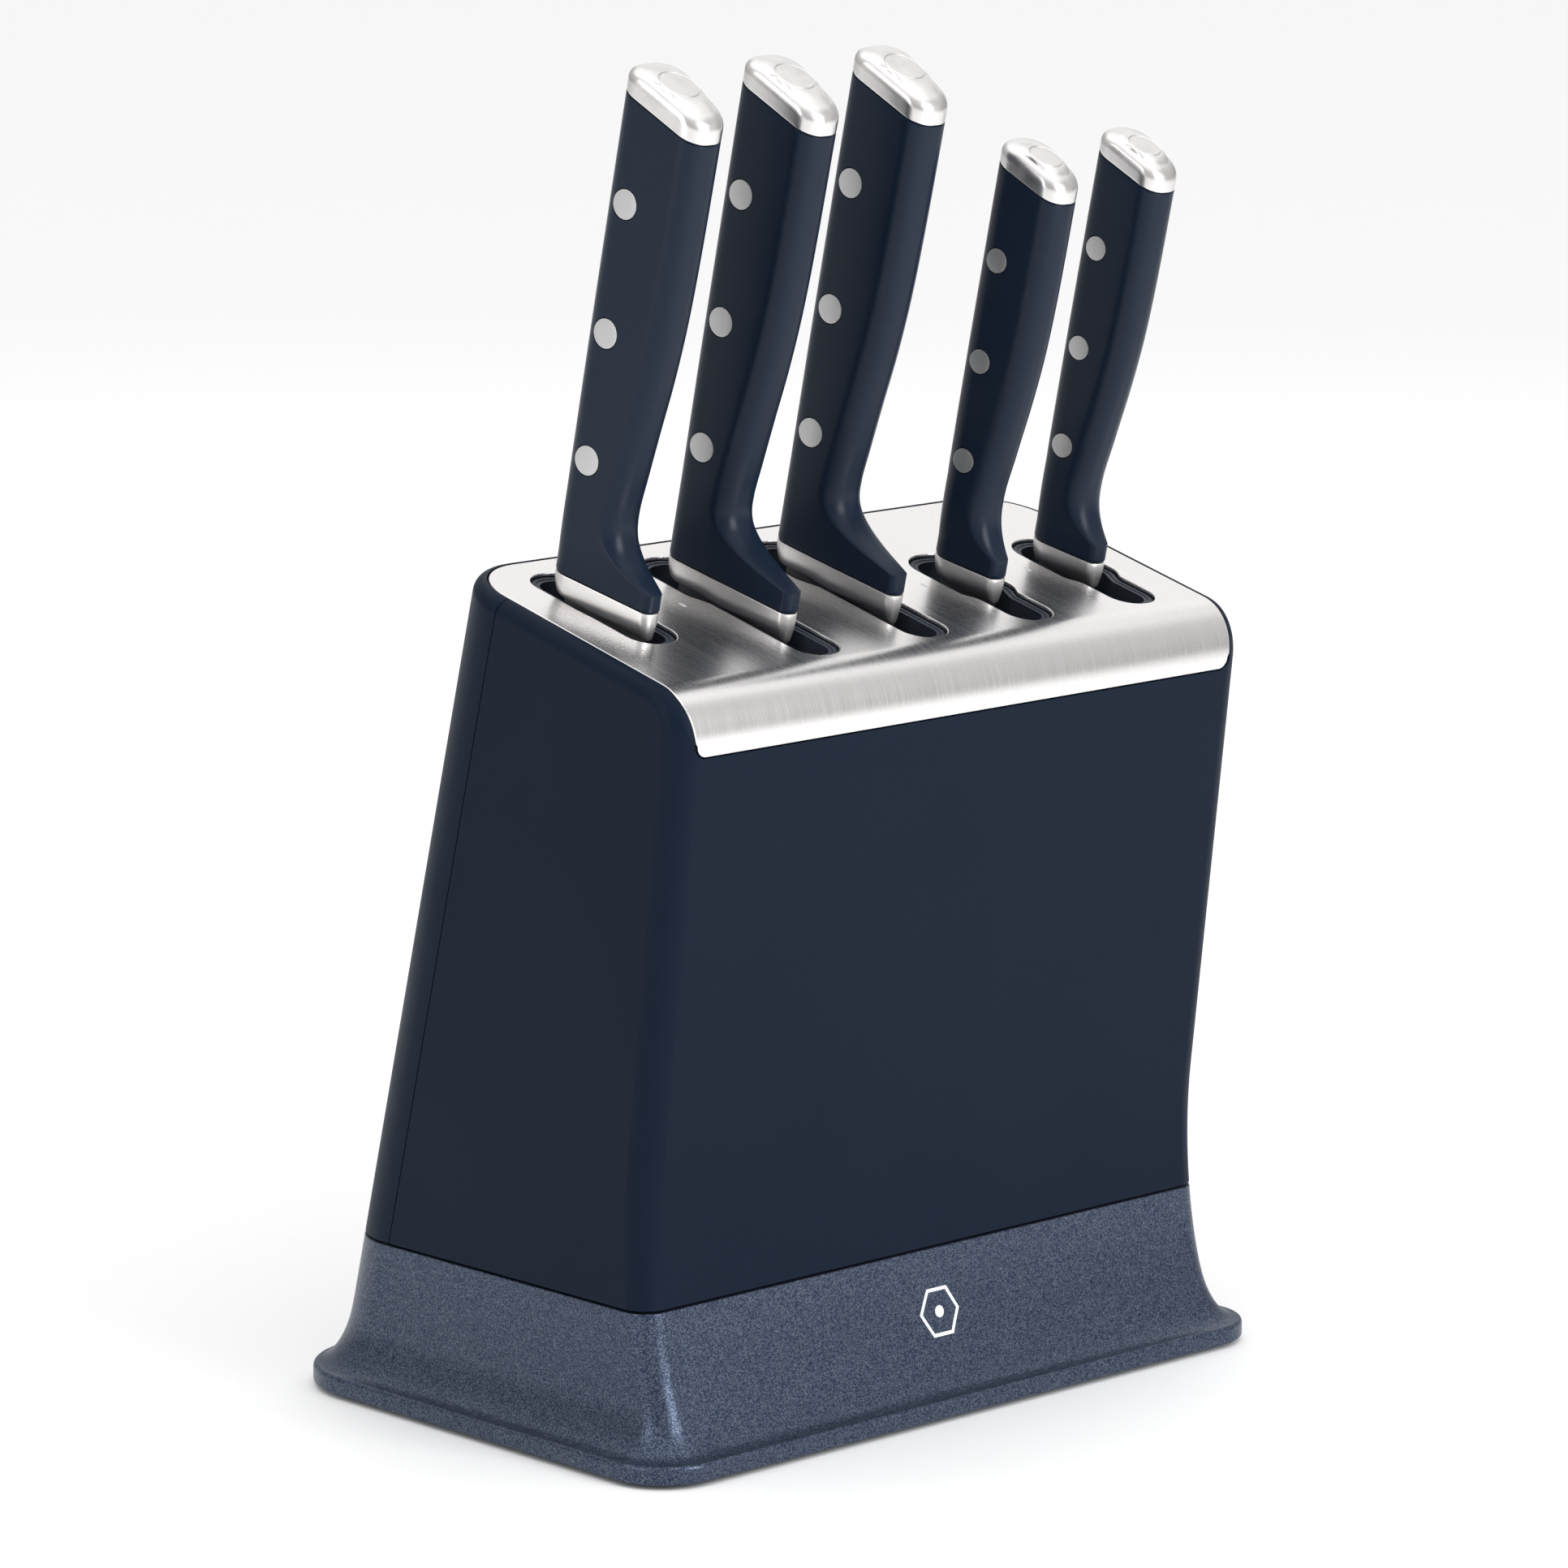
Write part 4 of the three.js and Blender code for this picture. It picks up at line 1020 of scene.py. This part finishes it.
def bake_modifier(obj, modifier):
    """Apply a modifier by taking the evaluated mesh."""
    bpy.context.view_layer.update()
    evaluated = obj.evaluated_get(bpy.context.evaluated_depsgraph_get())
    old = obj.data
    obj.data = bpy.data.meshes.new_from_object(evaluated)
    obj.modifiers.remove(modifier)
    bpy.data.meshes.remove(old)


def mesh_object(name, shape):
    """Object in metres from a shape in millimetres."""
    mesh = bpy.data.meshes.new(name)
    mesh.from_pydata([point * MM for point in shape.points], [], shape.faces)
    obj = bpy.data.objects.new(name, mesh)
    bpy.context.scene.collection.objects.link(obj)
    settle(obj)
    return obj


def make_piece(name, shape, material, body, nodes=(), wall=0.0, cutter=None):
    """One finished piece: thickened or cut where asked, shaded, painted and set on its body."""
    obj = mesh_object(name, shape)
    if wall:
        solidify = obj.modifiers.new("Wall", "SOLIDIFY")
        solidify.thickness = wall * MM
        solidify.offset = -1
        solidify.use_even_offset = True
        bake_modifier(obj, solidify)
        settle(obj)
    if cutter:
        tool = mesh_object(f"{name}_cutter", cutter)
        cut = obj.modifiers.new("Cut", "BOOLEAN")
        cut.operation = "DIFFERENCE"
        cut.solver = "EXACT"
        cut.object = tool
        bake_modifier(obj, cut)
        bpy.data.objects.remove(tool)
        settle(obj)
    obj.data.materials.clear()
    obj.data.materials.append(material)
    obj.data.shade_smooth()
    obj.data.set_sharp_from_angle(angle=CRISP)
    weighted = obj.modifiers.new("Even shading", "WEIGHTED_NORMAL")
    weighted.keep_sharp = True
    weighted.weight = 80
    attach(obj, body)
    if nodes:
        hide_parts(*nodes)
    return obj


def paint(node, material):
    """Give a kept node a finish."""
    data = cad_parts[node].data
    data.materials.clear()
    data.materials.append(material)


# ---- finishes ----


def per_metre(millimetres):
    """Texture scale for a pattern of this size."""
    return 1 / (millimetres * MM)


def add(tree, kind, inputs=None, **settings):
    """Add a node; an input's value is a constant, or a (node, output) pair to link from."""
    made = tree.nodes.new(kind)
    for key, value in settings.items():
        setattr(made, key, value)
    for socket, value in (inputs or {}).items():
        if isinstance(value, tuple) and isinstance(value[0], bpy.types.Node):
            tree.links.new(value[0].outputs[value[1]], made.inputs[socket])
        else:
            made.inputs[socket].default_value = value
    return made


def new_finish(name):
    """Material with an empty node tree, and that tree."""
    material = bpy.data.materials.new(name)
    material.use_nodes = True
    material.node_tree.nodes.clear()
    return material, material.node_tree


def finish_with(tree, inputs):
    """Close a tree with the surface shader and its output."""
    shader = add(tree, "ShaderNodeBsdfPrincipled", inputs)
    add(tree, "ShaderNodeOutputMaterial", {"Surface": (shader, "BSDF")})


def rgba(rgb, factor=1.0):
    """Opaque colour, brightened by factor."""
    return (*(min(1.0, channel * factor) for channel in rgb), 1.0)


def tinted(tree, rgb, source, low, high, start=0.35, end=0.65):
    """Colour that swings from low to high times rgb as a noise value goes from start to end."""
    ramp = add(tree, "ShaderNodeValToRGB", {"Fac": source})
    for element, position, factor in zip(ramp.color_ramp.elements, (start, end), (low, high)):
        element.position = position
        element.color = rgba(rgb, factor)
    return ramp, "Color"


FLOW_CLOUD = 35.0  # millimetres across the faint clouds that the melt leaves in a moulding's gloss
FLAKE_SIZE = 0.24  # real flakes are about 0.05 mm; they are drawn at 0.24 mm so that they still show
BRUSH_WIDTH = 0.14  # real strokes are about 0.05 mm wide; they are drawn at 0.14 mm so that they still show
DOWN_THE_SLOPE = (BRUSH_WIDTH, 22.0, 22.0)  # size of a stroke across, back and up
ACROSS_THE_BLADE = (BRUSH_WIDTH, 12.0, BRUSH_WIDTH)


def moulded_plastic(name, rgb, grain, depth, roughness, swing=0.05, gloss_level=0.5, mottle=0.08):
    """Moulded plastic: the tool's fine pebble grain, with faint flow clouds in the gloss."""
    material, tree = new_finish(name)
    place = add(tree, "ShaderNodeTexCoord")
    pebble = add(tree, "ShaderNodeTexNoise", {
        "Vector": (place, "Object"), "Scale": per_metre(grain), "Detail": 3.0, "Roughness": 0.6,
    })
    cloud = add(tree, "ShaderNodeTexNoise", {
        "Vector": (place, "Object"), "Scale": per_metre(FLOW_CLOUD), "Detail": 2.0,
    })
    gloss = add(tree, "ShaderNodeMapRange", {
        "Value": (cloud, "Fac"), "From Min": 0.3, "From Max": 0.7,
        "To Min": roughness - swing, "To Max": roughness + swing,
    })
    bump = add(tree, "ShaderNodeBump", {
        "Height": (pebble, "Fac"), "Distance": depth * MM, "Strength": 1.0,
    })
    finish_with(tree, {
        "Base Color": tinted(tree, rgb, (pebble, "Fac"), 1 - mottle, 1 + mottle),
        "Roughness": (gloss, "Result"), "Specular IOR Level": gloss_level, "Normal": (bump, "Normal"),
    })
    return material


def flake_lacquer(name, rgb, flake_rgb):
    """Metallic lacquer, sprayed: fine flakes glint at random under a satin clear coat."""
    material, tree = new_finish(name)
    place = add(tree, "ShaderNodeTexCoord")
    flakes = add(tree, "ShaderNodeTexVoronoi", {
        "Vector": (place, "Object"), "Scale": per_metre(FLAKE_SIZE),
    })
    split = add(tree, "ShaderNodeSeparateColor", {"Color": (flakes, "Color")})
    glint = add(tree, "ShaderNodeMapRange", {
        "Value": (split, "Red"), "From Min": 0.35, "From Max": 1.0, "To Min": 0.0, "To Max": 0.6,
    })
    fine = add(tree, "ShaderNodeTexNoise", {
        "Vector": (place, "Object"), "Scale": per_metre(0.6), "Detail": 2.0, "Roughness": 0.7,
    })
    body = tinted(tree, rgb, (fine, "Fac"), 0.85, 1.15, 0.3, 0.7)
    mixed = add(tree, "ShaderNodeMix", {
        "Factor": (glint, "Result"), 6: body, 7: rgba(flake_rgb),
    }, data_type="RGBA")
    bump = add(tree, "ShaderNodeBump", {
        "Height": (split, "Green"), "Distance": 0.006 * MM, "Strength": 0.6,
    })
    finish_with(tree, {
        "Base Color": (mixed, 2), "Metallic": 0.6, "Roughness": 0.36,
        "Specular IOR Level": 0.3, "Normal": (bump, "Normal"),
    })
    return material


def brushed_steel(name, rgb, roughness, stroke, turn=0.0, depth=0.0005, swing=0.02):
    """Stainless steel, brushed: long parallel strokes stretch each reflection across the grain."""
    material, tree = new_finish(name)
    place = add(tree, "ShaderNodeTexCoord")
    turned = add(tree, "ShaderNodeMapping", {"Vector": (place, "Object"), "Rotation": (turn, 0.0, 0.0)})
    scale = tuple(per_metre(size) for size in stroke)
    laid = add(tree, "ShaderNodeMapping", {"Vector": (turned, "Vector"), "Scale": scale})
    strokes = add(tree, "ShaderNodeTexNoise", {"Vector": (laid, "Vector"), "Scale": 1.0, "Detail": 3.0})
    # wider streaks, four to five strokes across, where the belt bit harder
    streaks = add(tree, "ShaderNodeTexNoise", {"Vector": (laid, "Vector"), "Scale": 0.22, "Detail": 2.0})
    gloss = add(tree, "ShaderNodeMapRange", {
        "Value": (streaks, "Fac"), "From Min": 0.3, "From Max": 0.7,
        "To Min": roughness - swing, "To Max": roughness + swing,
    })
    bump = add(tree, "ShaderNodeBump", {
        "Height": (strokes, "Fac"), "Distance": depth * MM, "Strength": 1.0,
    })
    finish_with(tree, {
        "Base Color": tinted(tree, rgb, (strokes, "Fac"), 0.97, 1.015), "Metallic": 1.0,
        "Roughness": (gloss, "Result"), "Normal": (bump, "Normal"),
    })
    return material


def polished_steel(name, rgb, roughness):
    """Stainless steel, vibro-polished: soft clear reflections with the faintest haze and hairlines."""
    material, tree = new_finish(name)
    place = add(tree, "ShaderNodeTexCoord")
    haze = add(tree, "ShaderNodeTexNoise", {
        "Vector": (place, "Object"), "Scale": per_metre(4), "Detail": 4.0,
    })
    fine = add(tree, "ShaderNodeTexNoise", {
        "Vector": (place, "Object"), "Scale": per_metre(0.25), "Detail": 2.0,
    })
    gloss = add(tree, "ShaderNodeMapRange", {
        "Value": (haze, "Fac"), "From Min": 0.3, "From Max": 0.7,
        "To Min": roughness - 0.03, "To Max": roughness + 0.04,
    })
    bump = add(tree, "ShaderNodeBump", {
        "Height": (fine, "Fac"), "Distance": 0.0012 * MM, "Strength": 1.0,
    })
    finish_with(tree, {
        "Base Color": tinted(tree, rgb, (haze, "Fac"), 0.96, 1.02), "Metallic": 1.0,
        "Roughness": (gloss, "Result"), "Normal": (bump, "Normal"),
    })
    return material


def finishes(context):
    """Every finish by its trade name, made once."""
    colours = context.scene.knife_block_colours
    makers = {
        # ABS, moulded in a spark-textured tool: matt, with a broad soft sheen on the rolled edges
        "spark_textured_abs": lambda name: moulded_plastic(
            name, colours.shell, grain=0.35, depth=0.012, roughness=0.45, swing=0.04, gloss_level=0.08
        ),
        # acetal (POM), moulded and vapour blasted: satin, so long edges carry a soft highlight
        "satin_pom": lambda name: moulded_plastic(
            name, colours.grip, grain=0.3, depth=0.004, roughness=0.34, swing=0.04, gloss_level=0.2
        ),
        # glass-filled nylon, moulded: a deeper pebble that breaks the light up in the slots
        "glass_filled_nylon": lambda name: moulded_plastic(
            name, colours.liner, grain=0.4, depth=0.03, roughness=0.55, swing=0.05, gloss_level=0.4
        ),
        # polypropylene, moulded in a plain tool: dull, even and slightly waxy
        "plain_polypropylene": lambda name: moulded_plastic(
            name, linear("#33373d"), grain=0.8, depth=0.01, roughness=0.6
        ),
        # rubber, compression moulded: near black, with hardly any highlight
        "moulded_rubber": lambda name: moulded_plastic(
            name, linear("#1a1b1d"), grain=0.5, depth=0.02, roughness=0.85, swing=0.04
        ),
        # metallic lacquer, sprayed: a bluish glitter that is lightest where the flare faces up
        "flake_lacquer": lambda name: flake_lacquer(name, colours.skirt, colours.flake),
        # stainless sheet, belt brushed from back to front: reflections smear into bands across it
        "brushed_stainless": lambda name: brushed_steel(
            name, colours.steel, roughness=0.27, stroke=DOWN_THE_SLOPE
        ),
        # stainless, ground from spine to edge: a calm satin with hardly any visible lines
        "ground_stainless": lambda name: brushed_steel(
            name, colours.steel, roughness=0.4, stroke=ACROSS_THE_BLADE,
            turn=KNIFE_TILT - LEAN, depth=0.0002,
        ),
        # stainless pin, faced off flush: an even light grey disc
        "satin_stainless": lambda name: brushed_steel(
            name, colours.rivet, roughness=0.42, stroke=DOWN_THE_SLOPE, depth=0.0006
        ),
        # stainless, vibro-polished: white glints that roll over the shoulders
        "polished_stainless": lambda name: polished_steel(name, colours.cap, roughness=0.3),
        # steel, zinc plated: cool grey with a slight haze
        "zinc_plated_steel": lambda name: polished_steel(name, linear("#a9adb0"), roughness=0.35),
        # pad-printed ink: flat, pale and even, on top of the lacquer
        "pad_print": lambda name: moulded_plastic(
            name, colours.print_ink, grain=0.5, depth=0.004, roughness=0.5
        ),
        # stainless, frosted by a laser: matt and pale, so it doesn't darken with the steel round it
        "laser_etch": lambda name: moulded_plastic(
            name, linear("#c9cbcc"), grain=0.3, depth=0.006, roughness=0.6
        ),
        # painted studio board: white and even, with no grain that shows
        "studio_floor": lambda name: moulded_plastic(
            name, colours.floor, grain=4.0, depth=0.0, roughness=0.7, swing=0.02,
            gloss_level=0.2, mottle=0.004,
        ),
    }
    return {name: bpy.data.materials.get(name) or maker(name) for name, maker in makers.items()}


# ---- operators ----


def millimetres(context):
    """The size settings in millimetres."""
    sizes = context.scene.knife_block_sizes
    return {name: getattr(sizes, name) / MM for name in sizes.__annotations__}


class KNIFEBLOCK_OT_skirt(bpy.types.Operator):
    """Lacquered base skirt with its flange and flare"""

    bl_idname = "knifeblock.skirt"
    bl_label = "Base skirt"

    def execute(self, context):
        shape = skirt_shape(millimetres(context)["soft_edge"])
        lacquer = finishes(context)["flake_lacquer"]
        make_piece("skirt", shape, lacquer, "block", ["base_skirt"])
        return {"FINISHED"}


class KNIFEBLOCK_OT_shells(bpy.types.Operator):
    """Front and rear body shells with rolled edges"""

    bl_idname = "knifeblock.shells"
    bl_label = "Body shells"

    def execute(self, context):
        soft = millimetres(context)["soft_edge"]
        plastic = finishes(context)["spark_textured_abs"]
        for name, shape_of in (("front_shell", front_shell_shape), ("rear_shell", rear_shell_shape)):
            skin = shape_of(soft)
            make_piece(f"{name}_skin", skin, plastic, "block", [name], wall=SHELL_WALL)
        return {"FINISHED"}


class KNIFEBLOCK_OT_plate(bpy.types.Operator):
    """Brushed steel plate, bent over the front edge"""

    bl_idname = "knifeblock.plate"
    bl_label = "Steel plate"

    def execute(self, context):
        shape = plate_shape(millimetres(context)["plate_edge"])
        steel = finishes(context)["brushed_stainless"]
        make_piece("bent_plate", shape, steel, "block", ["top_plate"])
        return {"FINISHED"}


class KNIFEBLOCK_OT_liners(bpy.types.Operator):
    """Moulded liners of the five slots"""

    bl_idname = "knifeblock.liners"
    bl_label = "Slot liners"

    def execute(self, context):
        sizes = millimetres(context)
        nylon = finishes(context)["glass_filled_nylon"]
        for knife in KNIVES:
            shape = liner_shape(knife, sizes["liner_step"], sizes["soft_edge"])
            name = f"{knife['name']}_liner"
            make_piece(f"{name}_moulding", shape, nylon, "block", [name])
        return {"FINISHED"}


class KNIFEBLOCK_OT_grips(bpy.types.Operator):
    """Moulded handles, cut round their rivets"""

    bl_idname = "knifeblock.grips"
    bl_label = "Grips"

    def execute(self, context):
        sizes = millimetres(context)
        plastic = finishes(context)["satin_pom"]
        for knife in KNIVES:
            name = knife["name"]
            make_piece(
                f"{name}_handle", grip_shape(knife, sizes["soft_edge"]), plastic, f"{name}_knife",
                [f"{name}_grip"], cutter=rivet_cutter(knife, sizes["rivet_gap"]),
            )
        return {"FINISHED"}


class KNIFEBLOCK_OT_caps(bpy.types.Operator):
    """Polished end caps with an engraved ring"""

    bl_idname = "knifeblock.caps"
    bl_label = "End caps"

    def execute(self, context):
        sizes = millimetres(context)
        steel = finishes(context)["polished_stainless"]
        for knife in KNIVES:
            name = knife["name"]
            shape = cap_shape(knife, sizes["soft_edge"], sizes["groove"])
            make_piece(f"{name}_end_cap", shape, steel, f"{name}_knife", [f"{name}_cap"])
        return {"FINISHED"}


class KNIFEBLOCK_OT_blades(bpy.types.Operator):
    """Ground blades and their bolsters"""

    bl_idname = "knifeblock.blades"
    bl_label = "Blades and bolsters"

    def execute(self, context):
        soft = millimetres(context)["soft_edge"]
        steel = finishes(context)["ground_stainless"]
        for knife in KNIVES:
            name = knife["name"]
            body = f"{name}_knife"
            bolster = bolster_shape(knife, soft)
            make_piece(f"{name}_bolster", bolster, steel, body, [f"{name}_blade"])
            make_piece(f"{name}_ground_blade", blade_shape(knife), steel, body)
        return {"FINISHED"}


class KNIFEBLOCK_OT_rivets(bpy.types.Operator):
    """Flush rivets through each handle"""

    bl_idname = "knifeblock.rivets"
    bl_label = "Rivets"

    def execute(self, context):
        sizes = millimetres(context)
        steel = finishes(context)["satin_stainless"]
        for knife in KNIVES:
            name = knife["name"]
            for i, height in enumerate(knife["size"]["rivets"], 1):
                shape = rivet_shape(knife, height, sizes["rivet_dome"], sizes["soft_edge"])
                node = f"{name}_rivet_{i}"
                make_piece(f"{node}_pin", shape, steel, f"{name}_knife", [node])
        return {"FINISHED"}


class KNIFEBLOCK_OT_marks(bpy.types.Operator):
    """Printed badge and etched dashes"""

    bl_idname = "knifeblock.marks"
    bl_label = "Small marks"

    def execute(self, context):
        made = finishes(context)
        badge = badge_shape(millimetres(context)["badge"])
        make_piece("skirt_badge", badge, made["pad_print"], "block")
        for knife in KNIVES:
            if knife["name"] not in DASHES:
                continue
            name = f"{knife['name']}_slot_dash"
            make_piece(name, etched_dash(knife), made["laser_etch"], "block")
        return {"FINISHED"}


class KNIFEBLOCK_OT_inside(bpy.types.Operator):
    """Feet, screws, bottom cover, deck and rack"""

    bl_idname = "knifeblock.inside"
    bl_label = "Underside and inside"

    def execute(self, context):
        made = finishes(context)
        for node in ("bottom_cover", "blade_rack", "deck"):
            paint(node, made["plain_polypropylene"])
        for i in range(1, 5):  # one foot and one screw near each corner
            paint(f"foot_{i}", made["moulded_rubber"])
            paint(f"screw_{i}", made["zinc_plated_steel"])
        return {"FINISHED"}


class KNIFEBLOCK_OT_stage(bpy.types.Operator):
    """Pale floor, soft studio light and the camera"""

    bl_idname = "knifeblock.stage"
    bl_label = "Studio"

    def execute(self, context):
        scene = context.scene
        half = FLOOR_HALF / MM
        floor = Shape()
        corners = [(-half, -half, 0), (half, -half, 0), (half, half, 0), (-half, half, 0)]
        floor.faces.append(tuple(floor.row(corners)))
        ground = mesh_object("studio_floor", floor)
        ground.data.materials.append(finishes(context)["studio_floor"])

        # the room is white all round, and brighter overhead than at the horizon
        world = bpy.data.worlds.new("studio")
        world.use_nodes = True
        tree = world.node_tree
        tree.nodes.clear()
        place = add(tree, "ShaderNodeTexCoord")
        sky = add(tree, "ShaderNodeSeparateXYZ", {"Vector": (place, "Generated")})
        strength = add(tree, "ShaderNodeMapRange", {
            "Value": (sky, "Z"), "From Min": 0.0, "From Max": 1.0,
            "To Min": HORIZON_LIGHT, "To Max": ZENITH_LIGHT,
        })
        room = add(tree, "ShaderNodeBackground", {
            "Color": (1.0, 1.0, 1.0, 1.0), "Strength": (strength, "Result"),
        })
        add(tree, "ShaderNodeOutputWorld", {"Surface": (room, "Background")})
        scene.world = world
        scene.view_settings.view_transform = "Standard"

        for name, position, width, height, watts in SOFTBOXES:
            lamp = bpy.data.lights.new(name, "AREA")
            lamp.shape = "RECTANGLE"
            lamp.size = width
            lamp.size_y = height
            lamp.energy = watts
            holder = bpy.data.objects.new(name, lamp)
            holder.location = position
            holder.rotation_euler = (AIM - Vector(position)).to_track_quat("-Z", "Y").to_euler()
            scene.collection.objects.link(holder)
        ceiling = bpy.data.lights.new("ceiling", "SUN")
        ceiling.energy = CEILING_POWER
        ceiling.angle = CEILING_SPREAD
        scene.collection.objects.link(bpy.data.objects.new("ceiling", ceiling))

        camera = bpy.data.cameras.new("camera")
        camera.lens = LENS
        camera.sensor_width = SENSOR
        camera.clip_end = FAR_CLIP
        holder = bpy.data.objects.new("camera", camera)
        up = CAMERA_RIGHT.cross(CAMERA_FORWARD)
        turn = Matrix((CAMERA_RIGHT, up, -CAMERA_FORWARD)).transposed().to_4x4()
        holder.matrix_world = Matrix.Translation(CAMERA_PLACE) @ turn
        scene.collection.objects.link(holder)
        scene.camera = holder
        return {"FINISHED"}


class KNIFEBLOCK_PT_panel(bpy.types.Panel):
    """Settings and building steps of the knife block"""

    bl_label = "Knife block"
    bl_idname = "KNIFEBLOCK_PT_panel"
    bl_space_type = "VIEW_3D"
    bl_region_type = "UI"
    bl_category = "Knife block"

    def draw(self, context):
        for group in (context.scene.knife_block_sizes, context.scene.knife_block_colours):
            for name in group.__annotations__:
                self.layout.prop(group, name)
        for step in STEPS:
            self.layout.operator(step.bl_idname)


GROUPS = (KnifeBlockSizes, KnifeBlockColours)
STEPS = (
    KNIFEBLOCK_OT_stage, KNIFEBLOCK_OT_skirt, KNIFEBLOCK_OT_shells, KNIFEBLOCK_OT_plate,
    KNIFEBLOCK_OT_liners, KNIFEBLOCK_OT_grips, KNIFEBLOCK_OT_caps, KNIFEBLOCK_OT_blades,
    KNIFEBLOCK_OT_rivets, KNIFEBLOCK_OT_marks, KNIFEBLOCK_OT_inside,
)


def register():
    for cls in (*GROUPS, *STEPS, KNIFEBLOCK_PT_panel):
        bpy.utils.register_class(cls)
    bpy.types.Scene.knife_block_sizes = bpy.props.PointerProperty(type=KnifeBlockSizes)
    bpy.types.Scene.knife_block_colours = bpy.props.PointerProperty(type=KnifeBlockColours)


def unregister():
    del bpy.types.Scene.knife_block_colours
    del bpy.types.Scene.knife_block_sizes
    for cls in reversed((*GROUPS, *STEPS, KNIFEBLOCK_PT_panel)):
        bpy.utils.unregister_class(cls)


def main():
    """Build everything in order."""
    register()
    for step in STEPS:
        family, name = step.bl_idname.split(".")
        getattr(getattr(bpy.ops, family), name)()


if __name__ == "__main__":
    main()
